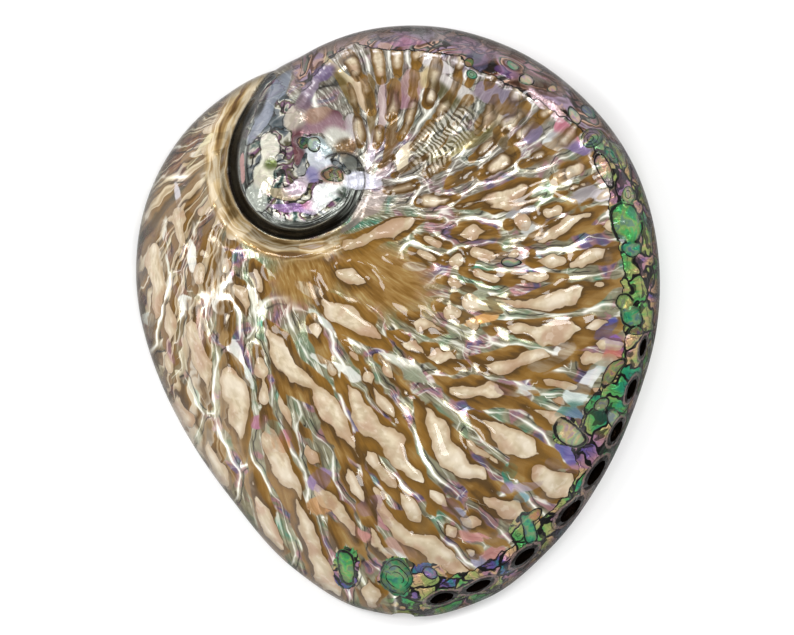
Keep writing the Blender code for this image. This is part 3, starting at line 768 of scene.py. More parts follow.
@dataclass
class AbaloneShell:
    """The whole shell as one dressed piece."""

    name: str = "abalone_shell"
    columns: int = 560
    back_rings: int = 138
    edge_rings: int = 3
    land_rings: int = 1
    shelf_rings: int = 8
    inside_rings: int = 24
    hole_sides: int = 28
    calming_rounds: int = 2
    smear: float = 0.035
    form: ShellForm = field(default_factory=ShellForm)

    @property
    def rings(self) -> int:
        """Number of rings from the tip of the back to the middle of the inside."""
        return self.back_rings + self.edge_rings + self.land_rings + self.shelf_rings + self.inside_rings

    def build(self) -> bpy.types.Object:
        """Model the shell.

        Returns:
            The finished piece, with its attributes and material.
        """
        piece = self._blank()
        self._drill(piece)
        self._store_pattern(piece)
        piece.data.materials.clear()
        piece.data.materials.append(ShellFinish().material())
        bpy.ops.object.select_all(action="DESELECT")
        piece.select_set(True)
        bpy.context.view_layer.objects.active = piece
        bpy.ops.object.shade_smooth_by_angle(angle=math.radians(50))
        return piece

    def _column_turns(self) -> np.ndarray:
        """Growth angle of each column, so that the columns are evenly spaced along the outline."""
        growth = np.linspace(SUTURE_END, SPIRAL_END, 3601)
        x, y = SPIRAL.place(growth, SPIRAL.radius(growth))
        steps = np.hypot(np.diff(x), np.diff(y)) + 0.25 * np.diff(growth)
        length = np.concatenate(([0], np.cumsum(steps)))
        return np.interp(np.arange(self.columns) / self.columns * length[-1], length, growth)

    def _blank(self) -> bpy.types.Object:
        """Roll a grid up into the shell without its holes.

        Returns:
            The closed piece.
        """
        bpy.ops.mesh.primitive_grid_add(x_subdivisions=self.columns, y_subdivisions=self.rings, size=2)
        piece = bpy.context.object
        piece.name = self.name
        start = np.zeros(len(piece.data.vertices) * 3)
        piece.data.vertices.foreach_get("co", start)
        start = start.reshape(-1, 3)
        ring = np.rint((1 - start[:, 1]) / 2 * self.rings).astype(int)
        column = np.rint((1 + start[:, 0]) / 2 * self.columns).astype(int) % self.columns
        growth = self._column_turns()[column]
        places = np.zeros_like(start)
        heights = np.zeros((self.back_rings + 1, self.columns))
        for number in range(self.rings + 1):
            chosen = ring == number
            places[chosen] = np.column_stack(self._ring(number, growth[chosen]))
            if number <= self.back_rings:
                heights[number, column[chosen]] = places[chosen, 2]
        on_back = ring <= self.back_rings
        places[on_back, 2] = self._calmed(heights)[ring[on_back], column[on_back]]
        places[:, 2] = np.maximum(places[:, 2], 0)
        piece.data.vertices.foreach_set("co", (places * MM).ravel())
        piece.data.update()
        bpy.ops.object.mode_set(mode="EDIT")
        bpy.ops.mesh.select_all(action="SELECT")
        bpy.ops.mesh.remove_doubles(threshold=1e-6)
        bpy.ops.mesh.normals_make_consistent(inside=False)
        bpy.ops.object.mode_set(mode="OBJECT")
        return piece

    def _calmed(self, heights: np.ndarray) -> np.ndarray:
        """Heights of the back evened out with their neighbours on the grid.

        Args:
            heights: heights by ring and column.

        Returns:
            The evened heights, with the tip and the edge as they were.
        """
        for _ in range(self.calming_rounds):
            sideways = 0.5 * heights + 0.25 * (np.roll(heights, 1, axis=1) + np.roll(heights, -1, axis=1))
            heights = heights.copy()
            heights[1:-1] = 0.5 * sideways[1:-1] + 0.25 * (sideways[:-2] + sideways[2:])
        return heights

    def _ring(self, number: int, growth: np.ndarray) -> tuple[np.ndarray, np.ndarray, np.ndarray]:
        """Places of one ring.

        Args:
            number: 0 at the tip, up to the number of rings at the middle of the inside.
            growth: growth angles of its columns.

        Returns:
            X, Y and Z in mm.
        """
        form = self.form
        step = number - self.back_rings
        if step <= 0:
            x, y = SPIRAL.place(growth, SPIRAL.radius(growth) * (number / self.back_rings))
            return x, y, form.back(x, y)
        shelf_step = step - self.edge_rings - self.land_rings
        if step <= self.edge_rings:
            inset, z = form.edge_profile(growth, step / self.edge_rings)
        elif shelf_step <= 0:
            outer, z = form.edge_profile(growth, 1.0)
            inner, _ = form.shelf_profile(growth, 0.0)
            inset = outer + (inner - outer) * (step - self.edge_rings) / self.land_rings
        elif shelf_step <= self.shelf_rings:
            inset, z = form.shelf_profile(growth, shelf_step / self.shelf_rings)
        else:
            left = (self.rings - number) / self.inside_rings
            x, y = SPIRAL.place(growth, SPIRAL.inset(growth, form.lip_wall) * left)
            return x, y, form.inside(x, y)
        x, y = SPIRAL.place(growth, SPIRAL.inset(growth, inset))
        return x, y, z

    def _axes(self, breath: Breath) -> tuple[Vector, Vector, Vector, Vector]:
        """Middle, outward normal, long axis and short axis of a breathing hole.

        Args:
            breath: the hole.

        Returns:
            Four vectors, in mm.
        """
        step = 1.5
        x, y = (float(v) for v in SPIRAL.place(breath.growth, breath.radius))
        around = self.form.back(
            np.array([x, x + step, x - step, x, x]), np.array([y, y, y, y + step, y - step]))
        normal = Vector((around[2] - around[1], around[4] - around[3], 2 * step)).normalized()
        ahead = SPIRAL.place(breath.growth + 1, breath.radius * 1.004)
        along = Vector((float(ahead[0]) - x, float(ahead[1]) - y, 0))
        along = (along - normal * along.dot(normal)).normalized()
        return Vector((x, y, around[0])), normal, along, normal.cross(along)

    def _peg(self, breath: Breath) -> bpy.types.Object:
        """Oval peg square to the back, through one breathing hole.

        Args:
            breath: the hole.

        Returns:
            The peg, to be cut out of the shell.
        """
        out_of_back, into_shell = 5.0, 9.0
        middle, normal, along, across = self._axes(breath)
        bpy.ops.mesh.primitive_cylinder_add(vertices=self.hole_sides, radius=0.5, depth=1)
        peg = bpy.context.object
        middle = middle + normal * (0.5 * (out_of_back - into_shell))
        for vertex in peg.data.vertices:
            local = vertex.co.copy()
            vertex.co = (middle + along * (local.x * breath.length) + across * (local.y * breath.width)
                         + normal * (local.z * (out_of_back + into_shell))) * MM
        return peg

    def _from_hole(self, places: np.ndarray) -> np.ndarray:
        """Distance of places from the nearest breathing hole's axis, 1 on its wall."""
        nearest = np.full(len(places), 9.0)
        for breath in self.form.breaths:
            middle, _, along, across = (np.array(v) for v in self._axes(breath))
            offset = places - middle
            away = np.hypot(offset @ along / (0.5 * breath.length), offset @ across / (0.5 * breath.width))
            nearest = np.minimum(nearest, np.where(np.linalg.norm(offset, axis=1) < 14, away, 9.0))
        return nearest

    def _drill(self, piece: bpy.types.Object) -> None:
        """Cut the breathing holes and the notch through the wall."""
        pegs = [self._peg(breath) for breath in (*self.form.breaths, self.form.notch)]
        bpy.ops.object.select_all(action="DESELECT")
        for peg in pegs:
            peg.select_set(True)
        bpy.context.view_layer.objects.active = pegs[0]
        bpy.ops.object.join()
        pegs_joined = bpy.context.object
        cut = piece.modifiers.new("holes", "BOOLEAN")
        cut.operation = "DIFFERENCE"
        cut.solver = "MANIFOLD"
        cut.object = pegs_joined
        bpy.context.view_layer.objects.active = piece
        bpy.ops.object.modifier_apply(modifier=cut.name)
        bpy.data.objects.remove(pegs_joined, do_unlink=True)

    def _store_pattern(self, piece: bpy.types.Object) -> None:
        """Write what the finish follows onto the vertices.

        Args:
            piece: the drilled shell.
        """
        mesh = piece.data
        flat = np.zeros(len(mesh.vertices) * 3)
        mesh.vertices.foreach_get("co", flat)
        places = flat.reshape(-1, 3) / MM
        x, y, z = places.T
        whorls = Whorls(x, y)
        first, second, side = self.form.folds.crest_distances(x, y)
        below = self.form.back(x, y) - z
        from_edge = whorls.edge_radius - whorls.radius
        out_wall = from_edge < self.form.wall_tuck(whorls.edge) + 0.1
        row = self.form.row_distance(whorls)
        growths, heres = zip(*whorls.sutures)
        lengthwise = first
        for way in (-1, 1):
            beside = on_streak(whorls.streak(), np.clip(whorls.across + way * self.smear, 0.05, 1.0))
            lengthwise = np.minimum(lengthwise, self.form.folds.crest_distances(*beside)[0])
        numbers = {
            "crest": first,
            "valley": 0.5 * (second - first),
            "flank": 0.5 * (second - first) * side,
            "lengthwise": lengthwise,
            "plain": np.max([oval.cover(x, y) for oval in Folds.PLAIN_BROWN], axis=0),
            "inside": np.where(out_wall, 0, ease((below - 0.4) / 0.5)),
            "below": np.clip(below, 0, 9),
            "row": row,
            "seam": row - self.form.seam(whorls.growth),
            "growth": whorls.growth,
            "coil": np.where(heres[1] > 0, growths[1], growths[0]),
            "streak": whorls.streak(),
            "across": whorls.across,
            "edge": from_edge,
            "outside_spire": whorls.from_suture,
            "hole": self._from_hole(places),
        }
        bend_x, bend_y = x + 1.4 * soft_noise(0.16, x, y), y + 1.4 * soft_noise(0.16, x, y, 0 * x + 7)
        painted = Painting()
        numbers["lobe"] = painted.lobes(bend_x, bend_y)
        numbers["zebra"] = painted.ZEBRA.cover(bend_x, bend_y)
        numbers["eye"], numbers["ripple"], eye_tint = painted.eyes(bend_x, bend_y)
        for name, values in numbers.items():
            layer = mesh.attributes.new(name, "FLOAT", "POINT")
            layer.data.foreach_set("value", np.ascontiguousarray(values, dtype=np.float32))
        for name, values in (("patches", painted.patches(bend_x, bend_y)), ("eye_tint", eye_tint)):
            layer = mesh.attributes.new(name, "FLOAT_COLOR", "POINT")
            layer.data.foreach_set("color", np.ascontiguousarray(values, dtype=np.float32).ravel())


class Painting:
    """Colour of the back, given one by one: soft patches, lobes of the bright band and outlined eyes."""

    LOBES = (
        Oval(1, -70, 5.0, 4.6), Oval(9, -71, 5.0, 4.0), Oval(-14, -68, 3.4, 5.6),
        Oval(36, -57, 5.0, 4.0, 40),
        Oval(13, -76, 6.0, 3.0, 10), Oval(42, -60, 6.0, 5.0, 40),
        Oval(47, -30, 4.0, 3.0, 40),
    )
    ZEBRA = Oval(13, 50, 9.5, 4.6, 48)
    EYES = (
        Eye(0.2, -70.5, 3.6, 4.4, 0, "2F9C6E", 3), Eye(-14, -67.5, 2.5, 4.6, 8, "5FB45C"),
        Eye(9.5, -69.8, 2.4, 1.6, -40, "8A74C4"), Eye(36.5, -57, 2.0, 4.4, 10, "4FA88C"),
        Eye(39, -53, 2.4, 1.6, 40, "C08A64"), Eye(35.5, 66.6, 2.2, 1.6, 0, "D8CCC8"),
        Eye(42.8, 65.2, 1.4, 1.2, 0, "C8A8A0"), Eye(32.5, 71, 1.6, 1.0, -30, "8C9AA0"),
        Eye(21, 67.7, 1.8, 1.1, -20, "3C9A94", 2), Eye(20.5, 71, 1.2, 1.2, 0, "8C6A48"),
        Eye(49.2, 57, 1.5, 2.4, 20, "D4C0C4"), Eye(53.5, 58.2, 1.3, 2.4, 40, "5E8EA8"),
        Eye(54, 51, 3.0, 2.2, 20, "8A8478", 3), Eye(59, 46.2, 1.4, 2.6, 40, "2E6A70", 2),
        Eye(64, 35.2, 1.8, 2.2, 0, "B4BCA0", 2), Eye(63.2, 27.4, 4.2, 5.4, 10, "5CB668"),
        Eye(63.5, 26.6, 0.8, 0.9, 0, "2A3A2A"), Eye(64.6, 20.4, 2.4, 1.6, 20, "2FA090"),
        Eye(62.5, 5.4, 3.0, 2.2, 30, "B8B070"), Eye(64.5, 1.8, 3.6, 2.6, -30, "20A080"),
        Eye(66, -2.5, 1.6, 1.2, 0, "1E1814"), Eye(59.5, -14, 1.8, 5.0, 150, "B09468"),
        Eye(56.5, -22.5, 2.4, 1.8, 0, "7C9A84"), Eye(60.5, -27, 1.8, 2.6, 0, "8FB89A"),
        Eye(47.5, -30.5, 4.6, 3.2, -40, "D8C8AC"), Eye(-25.6, 49.2, 1.4, 1.8, 0, "5A2E40", 2),
        Eye(-23.2, 48.4, 2.0, 1.7, -30, "E8E0E4"), Eye(-16.8, 40.2, 2.4, 2.0, -30, "A2705A", 2),
        Eye(57, 42, 1.5, 4.6, 20, "C9A39C"), Eye(31.4, 15.8, 2.2, 1.3, 10, "B8A8A0"),
    )
    # The near-white patches, most of them on the left side, are painted highlights: glints of the polished
    # folds.
    PATCHES = tuple(Patch(*row) for row in (
        # top band
        (2, 78, 4.5, 2.0, 0, "B487A6"), (12, 79, 7.8, 1.7, -8, "86828A"),
        (-13, 78, 8.4, 1.4, 15, "B8A49C"), (-3, 79, 3.9, 1.4, 5, "7C7480"),
        (21, 76, 7.3, 2.2, -18, "8E7A90"), (29, 77, 7.3, 2.0, -25, "70523E"),
        (35, 67, 5.6, 3.1, -30, "5A3418"), (43, 65, 3.6, 2.5, -30, "6A4426"),
        (30, 69, 3.4, 1.4, -20, "76508E"), (41, 60, 6.1, 1.4, -42, "E6D0D4"),
        (47, 52, 3.6, 2.0, -45, "D48CA0"), (54, 59, 6.1, 1.7, -55, "8E7E78"),
        (57, 48, 3.4, 1.7, -60, "A8A098"),
        # columns beside the spire
        (-16, 69, 6.7, 1.4, -50, "DACDAE"), (-10, 63, 5.6, 1.4, -72, "D6C2A6"),
        (-14, 64, 7.3, 1.0, -62, "8E7838"), (-7, 59, 8.9, 1.1, -86, "8C7232"),
        (-1, 58, 8.4, 1.3, -95, "8A6A2C"), (-4, 59, 7.3, 1.0, -90, "D2C0BE"),
        (-12, 53, 3.4, 1.4, -80, "D4D0D0"), (-20, 69, 3.6, 2.2, 25, "7E6A94"),
        (-24, 64, 2.8, 1.7, 60, "A89AAC"), (-18, 56, 2.8, 1.4, 0, "6E1E40"),
        (-20, 54, 5.6, 2.2, 5, "AE8C98"), (-22, 57, 3.4, 1.7, 10, "B89A88"),
        (2, 61, 3.4, 3.4, 0, "B48E9A"), (4, 65, 2.8, 3.4, 0, "BFA3A0"), (22, 71, 2.5, 2.8, 0, "6E6A86"),
        (11, 71, 3.9, 2.0, -20, "E8E4E4"), (9, 67, 2.5, 2.8, 0, "D8C8A0"),
        (16, 64, 5.6, 2.0, -35, "E4E0DC"), (15, 61, 6.7, 1.7, -40, "6E6838"),
        (25, 63, 3.4, 2.2, 0, "A898A8"), (30, 59, 3.4, 4.5, 0, "A096A8"),
        (26, 54, 2.2, 4.5, -15, "E2D6BE"), (23, 51, 4.5, 1.7, 30, "6E6428"),
        (29, 50, 4.5, 1.4, -60, "7C6A44"), (12, 52, 8.4, 3.1, 40, "A8A698"),
        (18, 56, 2.0, 1.4, 40, "0E0E0E"), (14, 53, 2.0, 1.0, 40, "141414"),
        (11, 51, 1.7, 0.8, 40, "1A1A1A"), (15, 47, 6.7, 2.0, 35, "A89C6A"),
        # spire
        (-34, 62, 8.9, 2.0, 62, "8C94A2"), (-37, 56, 7.3, 1.4, 65, "A8ACB8"),
        (-41, 59, 6.7, 1.1, 65, "56432F"), (-43, 55, 3.4, 0.8, 75, "14120E"),
        (-37, 60, 3.4, 0.8, 62, "16120E"), (-42, 42, 3.9, 0.8, 85, "C4A09C"),
        (-35, 48, 3.9, 2.5, 85, "ECEADE"), (-36, 40, 4.2, 2.5, 85, "E4E2D2"),
        (-34, 43, 1.7, 1.4, 0, "7C8A4E"), (-38, 34, 3.9, 2.2, -60, "C8CCC4"),
        (-31, 35, 3.9, 1.4, -20, "B4A88A"), (-28, 31, 5.6, 1.0, -10, "9A7CA8"),
        (-23, 32, 2.2, 1.1, 10, "CE72AA"), (-28, 56, 2.5, 3.4, -30, "D0C8BC"),
        (-26, 60, 2.0, 2.2, 0, "8A7482"), (-27, 48, 1.6, 5.0, -10, "86525A"),
        (-22, 48, 4.5, 2.2, -20, "AEBCC0"), (-21, 44, 4.5, 2.2, -50, "E6EAF0"),
        (-22, 40, 2.0, 2.0, 0, "9C96C0"), (-19, 35, 5.6, 2.5, 40, "E8ECEA"),
        (-17, 40, 2.5, 2.2, -30, "A2705A"), (-15, 35, 2.0, 1.4, 20, "34463A"),
        (-13, 44, 3.9, 1.1, -60, "8A8C84"), (-27, 37, 3.4, 2.2, 30, "D8CCD4"),
        (-16, 51, 3.6, 2.2, -10, "E4E4DC"), (-14, 48, 2.5, 2.2, 0, "7A5A28"),
        # feathers right of the spire
        (-7, 46, 4.5, 1.1, 78, "C8C0C8"), (-3, 43, 5.6, 1.1, 62, "BEB2B4"),
        (-9, 38, 4.5, 2.2, 0, "DCDCE6"), (-1, 48, 5.6, 1.1, 62, "8C6A22"),
        (2, 45, 3.9, 1.4, 62, "F0E6D0"), (-6, 33, 6.1, 1.4, 35, "B2A8A4"),
        (-10, 28, 6.1, 1.1, 32, "A89A94"),
        # folds right of the middle
        (37, 52, 2.8, 2.8, 0, "8E84A0"), (45, 50, 3.4, 2.0, 0, "CACACC"),
        (42, 48, 2.2, 1.4, 0, "E8ECEC"), (50, 48, 3.9, 1.7, -5, "9884B0"),
        (46, 40, 2.8, 2.2, 0, "D8D4CC"), (51, 35, 3.9, 2.2, 20, "B4AEB2"),
        (60, 41, 2.2, 5.0, -65, "D8B8B4"), (57, 35, 3.4, 1.4, 10, "ECE6EA"),
        (60, 30, 2.2, 1.4, 20, "F2F0EC"), (34, 30, 3.9, 1.7, 20, "B6B6B8"),
        (38, 25, 3.4, 1.7, 0, "E0E0DC"), (30, 17, 4.5, 1.4, 10, "E4E0DC"),
        (32, 16, 2.2, 1.1, 0, "C49A9A"), (21, 9, 3.9, 2.2, 0, "A4A690"),
        (26, 5, 3.9, 2.0, -10, "C8D0B4"), (23, 1, 4.5, 1.4, 20, "E4B878"),
        (5, 15, 3.4, 1.1, -10, "EAEAE0"), (1, -11, 5.6, 1.7, -20, "E6E6DC"),
        (4, -14, 4.5, 1.4, -20, "A8AE98"), (30, -18, 3.4, 1.7, -20, "B48C9E"),
        (35, -19, 3.4, 1.4, 10, "E2E4DE"), (45, -8, 3.9, 2.0, 25, "F4F4F0"),
        (40, -11, 3.9, 1.7, 20, "CCCCC4"), (58, -2, 3.4, 1.7, 40, "5E64B4"),
        (60, -6, 2.8, 2.2, 55, "9A72C0"), (59, -9, 2.8, 2.0, 35, "D68E7E"),
        (56, -12, 3.4, 1.7, 30, "7EA89E"), (53, -15, 4.5, 1.7, 40, "F4F6F4"),
        (60, -13, 2.8, 1.1, 50, "E4A4E0"), (49, -20, 4.5, 2.0, 35, "E8F0EE"),
        (47, -24, 3.9, 1.4, 20, "6EA096"),
        # bottom right
        (51, -25, 3.9, 1.7, 10, "7E9CB4"), (53, -28, 3.9, 2.0, 20, "9670B8"),
        (50, -32, 2.8, 1.7, 0, "A8866E"), (47, -36, 3.4, 1.7, -40, "7E72B8"),
        (50, -40, 3.4, 1.1, -10, "C49AA8"), (43, -39, 2.2, 1.7, 0, "B4A8B0"),
        (31, -41, 2.2, 2.5, -25, "3C9C84"), (30, -45, 2.2, 1.4, 0, "B09AC0"),
        (34, -48, 2.2, 1.4, 0, "9ABCC4"), (36, -45, 3.9, 1.1, 10, "C8B8C0"),
        (15, -51, 3.4, 1.7, -50, "C09CBC"), (18, -54, 3.4, 1.4, -50, "A9ADBC"),
        (21, -59, 5.0, 1.4, -10, "D2A098"), (26, -64, 4.5, 1.7, 20, "CE9A96"),
        (23, -66, 3.9, 1.4, -30, "A6A4BC"), (-7, -50, 2.2, 3.9, -60, "C6A2C0"),
        (-4, -55, 2.8, 1.7, -50, "D0A0A4"), (1, -62, 5.0, 1.7, -30, "D0B0A4"),
        (-1, -64, 3.4, 1.1, -20, "EEEEEA"), (-10, -58, 3.9, 1.7, -30, "D8A8A0"),
        (-21, -50, 2.8, 4.5, -65, "CAA06C"),
        # left side and lip
        (-32, -33, 2.8, 2.8, 0, "D8A070"), (-30, -31, 2.2, 1.4, 0, "CC8EA0"),
        (-38, -27, 2.8, 1.7, 0, "C890A8"), (-34, -29, 2.2, 1.7, 0, "A9CCBC"),
        (-21, -43, 2.2, 3.4, -65, "B49CC0"), (-41, -14, 3.9, 1.1, -60, "E9ECE4"),
        (-44, -8, 3.9, 1.4, -65, "F2F2EC"), (-47, 9, 3.9, 1.7, -60, "F0F0E8"),
        (-48, 17, 6.7, 1.4, -68, "F4F4EE"), (-56, 17, 5.6, 1.0, -85, "EFEFE8"),
        (-58, 5, 2.2, 2.2, -80, "E8EAE4"), (-49, 6, 3.9, 1.4, -75, "F2F2EC"),
        (-60, 35, 3.9, 1.1, -75, "D8D4D8"), (-54, 48, 5.6, 0.8, 50, "E4DCC0"),
        (-65, 23, 6.7, 0.8, 85, "E4E2D8"), (-69, 1, 1.7, 2.2, 0, "E6EAE4"),
        (-64, 15, 5.6, 0.8, -85, "DADAD0"), (-63, -8, 3.4, 1.1, -70, "C49CB8"),
        (-54, -2, 5.6, 0.8, -85, "C9B0BC"), (-38, 6, 4.5, 1.1, -50, "F0EEE2"),
        (-24, 9, 3.9, 1.4, -35, "F2F2EA"), (-19, -11, 5.0, 1.4, -25, "F0F0EA"),
        (-12, -14, 2.8, 1.4, -40, "EDEDE8"), (-21, 1, 4.5, 1.1, -40, "D8DCD4"),
    ))

    def lobes(self, x: np.ndarray, y: np.ndarray) -> np.ndarray:
        """Cover of the lobes that the bright band sends into the folds."""
        return np.max([lobe.cover(x, y) for lobe in self.LOBES], axis=0)

    def patches(self, x: np.ndarray, y: np.ndarray) -> np.ndarray:
        """Colour of the patches over each place, with their cover as alpha."""
        seen = np.zeros((len(x), 4))
        for patch in self.PATCHES:
            cover = patch.cover(x, y)[:, None]
            tint = np.array(colour(patch.tint))[None, :3]
            total = cover + seen[:, 3:] * (1 - cover)
            blended = tint * cover + seen[:, :3] * seen[:, 3:] * (1 - cover)
            seen[:, :3] = blended / np.maximum(total, 1e-6)
            seen[:, 3:] = total
        return seen

    def eyes(self, x: np.ndarray, y: np.ndarray) -> tuple[np.ndarray, np.ndarray, np.ndarray]:
        """Nearest eye of each place.

        Args:
            x: places along X in mm.
            y: places along Y in mm.

        Returns:
            Distance from the eye's middle, the same counted in its rings, and its colour.
        """
        away = np.array([eye.away(x, y) for eye in self.EYES])
        nearest = away.argmin(axis=0)
        distance = away.min(axis=0)
        rings = np.array([eye.rings for eye in self.EYES])[nearest]
        tint = np.array([colour(eye.tint) for eye in self.EYES])[nearest]
        return distance, distance * rings, tint


class Value:
    """A number socket with arithmetic, so that shader maths reads as expressions."""

    def __init__(self, tree: bpy.types.NodeTree, socket: bpy.types.NodeSocket) -> None:
        """Wrap an output socket of a node tree."""
        self.tree = tree
        self.socket = socket

    def _math(self, operation: str, *others: "Value | float", clamp: bool = False) -> "Value":
        """Add a Math node that takes this value first.

        Args:
            operation: the Math node's operation.
            others: its further inputs, values or plain numbers.
            clamp: keep the result between 0 and 1.

        Returns:
            The node's result.
        """
        node = self.tree.nodes.new("ShaderNodeMath")
        node.operation = operation
        node.use_clamp = clamp
        for socket, given in zip(node.inputs, (self, *others)):
            if isinstance(given, Value):
                self.tree.links.new(given.socket, socket)
            else:
                socket.default_value = given
        return Value(self.tree, node.outputs[0])

    def __add__(self, other: "Value | float") -> "Value":
        """Sum."""
        return self._math("ADD", other)

    def __sub__(self, other: "Value | float") -> "Value":
        """Difference."""
        return self._math("SUBTRACT", other)

    def __rsub__(self, other: float) -> "Value":
        """Difference from a plain number."""
        return self._math("MULTIPLY", -1.0)._math("ADD", other)

    def __mul__(self, other: "Value | float") -> "Value":
        """Product."""
        return self._math("MULTIPLY", other)

    def __truediv__(self, other: "Value | float") -> "Value":
        """Quotient."""
        return self._math("DIVIDE", other)

    __radd__ = __add__
    __rmul__ = __mul__

    def step(self, low: float, high: float) -> "Value":
        """Smooth step between two levels, which may fall as well as rise."""
        share = (self - low)._math("DIVIDE", high - low, clamp=True)
        return share * share * (3 - 2 * share)

    def peak(self, middle: "Value | float", width: "Value | float") -> "Value":
        """Round peak of height 1 at a level."""
        away = (self - middle) / width
        return (away * away + 1)._math("POWER", -2.0)

    def most(self, other: "Value | float") -> "Value":
        """The larger of two values."""
        return self._math("MAXIMUM", other)

    def least(self, other: "Value | float") -> "Value":
        """The smaller of two values."""
        return self._math("MINIMUM", other)

    def wave(self) -> "Value":
        """Sine brought between 0 and 1."""
        return self._math("SINE") * 0.5 + 0.5


class Paint:
    """A node tree with the few helpers that the finish is painted with."""

    def __init__(self, material: bpy.types.Material) -> None:
        """Empty a material's tree and keep its surface shader."""
        material.use_nodes = True
        self.tree = material.node_tree
        self.surface = self.tree.nodes["Principled BSDF"]
        self.place = self.node("ShaderNodeTexCoord", {}).outputs["Object"]

    def node(self, kind: str, settings: dict, inputs: dict | None = None) -> bpy.types.Node:
        """Add one node.

        Args:
            kind: its type.
            settings: properties that are set first.
            inputs: values or links of its sockets, by name or number.

        Returns:
            The node.
        """
        made = self.tree.nodes.new(kind)
        for name, value in settings.items():
            setattr(made, name, value)
        for name, value in (inputs or {}).items():
            socket = made.inputs[name]
            if isinstance(value, Value):
                self.tree.links.new(value.socket, socket)
            elif isinstance(value, bpy.types.NodeSocket):
                self.tree.links.new(value, socket)
            else:
                socket.default_value = value
        return made

    def stored(self, name: str) -> Value:
        """A number stored on the vertices."""
        found = self.node("ShaderNodeAttribute", {"attribute_name": name})
        return Value(self.tree, found.outputs["Fac"])

    def stored_colour(self, name: str) -> tuple[bpy.types.NodeSocket, Value]:
        """A colour stored on the vertices, and its alpha."""
        found = self.node("ShaderNodeAttribute", {"attribute_name": name})
        return found.outputs["Color"], Value(self.tree, found.outputs["Alpha"])

    def bent(self, where: bpy.types.NodeSocket, scale: float, by: float) -> bpy.types.NodeSocket:
        """Coordinates pushed about by noise.

        Args:
            where: the coordinates.
            scale: bumps of the noise to a unit.
            by: how far they are pushed.

        Returns:
            The new coordinates.
        """
        push = self.node("ShaderNodeTexNoise", {}, {"Vector": where, "Scale": scale, "Detail": 2.0})
        centred = self.node("ShaderNodeVectorMath", {"operation": "SUBTRACT"},
                            {0: push.outputs["Color"], 1: (0.5, 0.5, 0.5)})
        moved = self.node("ShaderNodeVectorMath", {"operation": "MULTIPLY_ADD"},
                          {0: centred.outputs[0], 1: (by, by, by), 2: where})
        return moved.outputs[0]

    def cells(self, where: bpy.types.NodeSocket, scale: float) -> tuple[Value, Value]:
        """Cells like cracked mud.

        Args:
            where: coordinates.
            scale: cells to a unit.

        Returns:
            Distance from the cell's edge, and a number of its own for each cell.
        """
        edge = self.node("ShaderNodeTexVoronoi", {"feature": "DISTANCE_TO_EDGE"},
                         {"Vector": where, "Scale": scale})
        own = self.node("ShaderNodeTexVoronoi", {"feature": "F1"}, {"Vector": where, "Scale": scale})
        parts = self.node("ShaderNodeSeparateColor", {}, {0: own.outputs["Color"]})
        return Value(self.tree, edge.outputs["Distance"]), Value(self.tree, parts.outputs[0])

    def vector(self, x: Value | float, y: Value | float, z: Value | float) -> bpy.types.NodeSocket:
        """A vector from three values or numbers."""
        return self.node("ShaderNodeCombineXYZ", {}, {0: x, 1: y, 2: z}).outputs[0]

    def noise(self, where: bpy.types.NodeSocket, scale: float, detail: float = 2.0,
              twist: float = 0.0) -> Value:
        """Soft noise between about 0.2 and 0.8.

        Args:
            where: coordinates.
            scale: cells to a unit of them.
            detail: octaves.
            twist: distortion.

        Returns:
            The noise's value.
        """
        made = self.node("ShaderNodeTexNoise", {}, {
            "Vector": where, "Scale": scale, "Detail": detail, "Distortion": twist})
        return Value(self.tree, made.outputs[0])

    def mix(self, share: Value | float, under: bpy.types.NodeSocket | tuple,
            over: bpy.types.NodeSocket | tuple) -> bpy.types.NodeSocket:
        """Blend two colours.

        Args:
            share: how much of the second colour shows.
            under: first colour, a socket or four numbers.
            over: second colour.

        Returns:
            The blended colour.
        """
        made = self.node("ShaderNodeMix", {"data_type": "RGBA"})
        for socket, given in ((made.inputs[0], share), (made.inputs[6], under), (made.inputs[7], over)):
            if isinstance(given, Value):
                self.tree.links.new(given.socket, socket)
            elif isinstance(given, bpy.types.NodeSocket):
                self.tree.links.new(given, socket)
            else:
                socket.default_value = given
        return made.outputs[2]

    def contrast(self, tint: bpy.types.NodeSocket) -> bpy.types.NodeSocket:
        """Deepen the dark parts of a colour and keep the light ones."""
        rise, least_share = (0.7,) * 3, (0.48,) * 3
        share = self.node("ShaderNodeVectorMath", {"operation": "MULTIPLY_ADD"},
                          {0: tint, 1: rise, 2: least_share})
        deepened = self.node("ShaderNodeVectorMath", {"operation": "MULTIPLY"},
                             {0: tint, 1: share.outputs[0]})
        return deepened.outputs[0]

    def ramp(self, share: Value, *stops: tuple[float, str]) -> bpy.types.NodeSocket:
        """Colours along a value.

        Args:
            share: the value that picks the colour.
            stops: pairs of a level and a colour code.

        Returns:
            The colour.
        """
        made = self.node("ShaderNodeValToRGB", {}, {0: share})
        bar = made.color_ramp
        bar.interpolation = "EASE"
        while len(bar.elements) < len(stops):
            bar.elements.new(1.0)
        for element, (level, code) in zip(bar.elements, stops):
            element.position = level
            element.color = colour(code)
        return made.outputs[0]


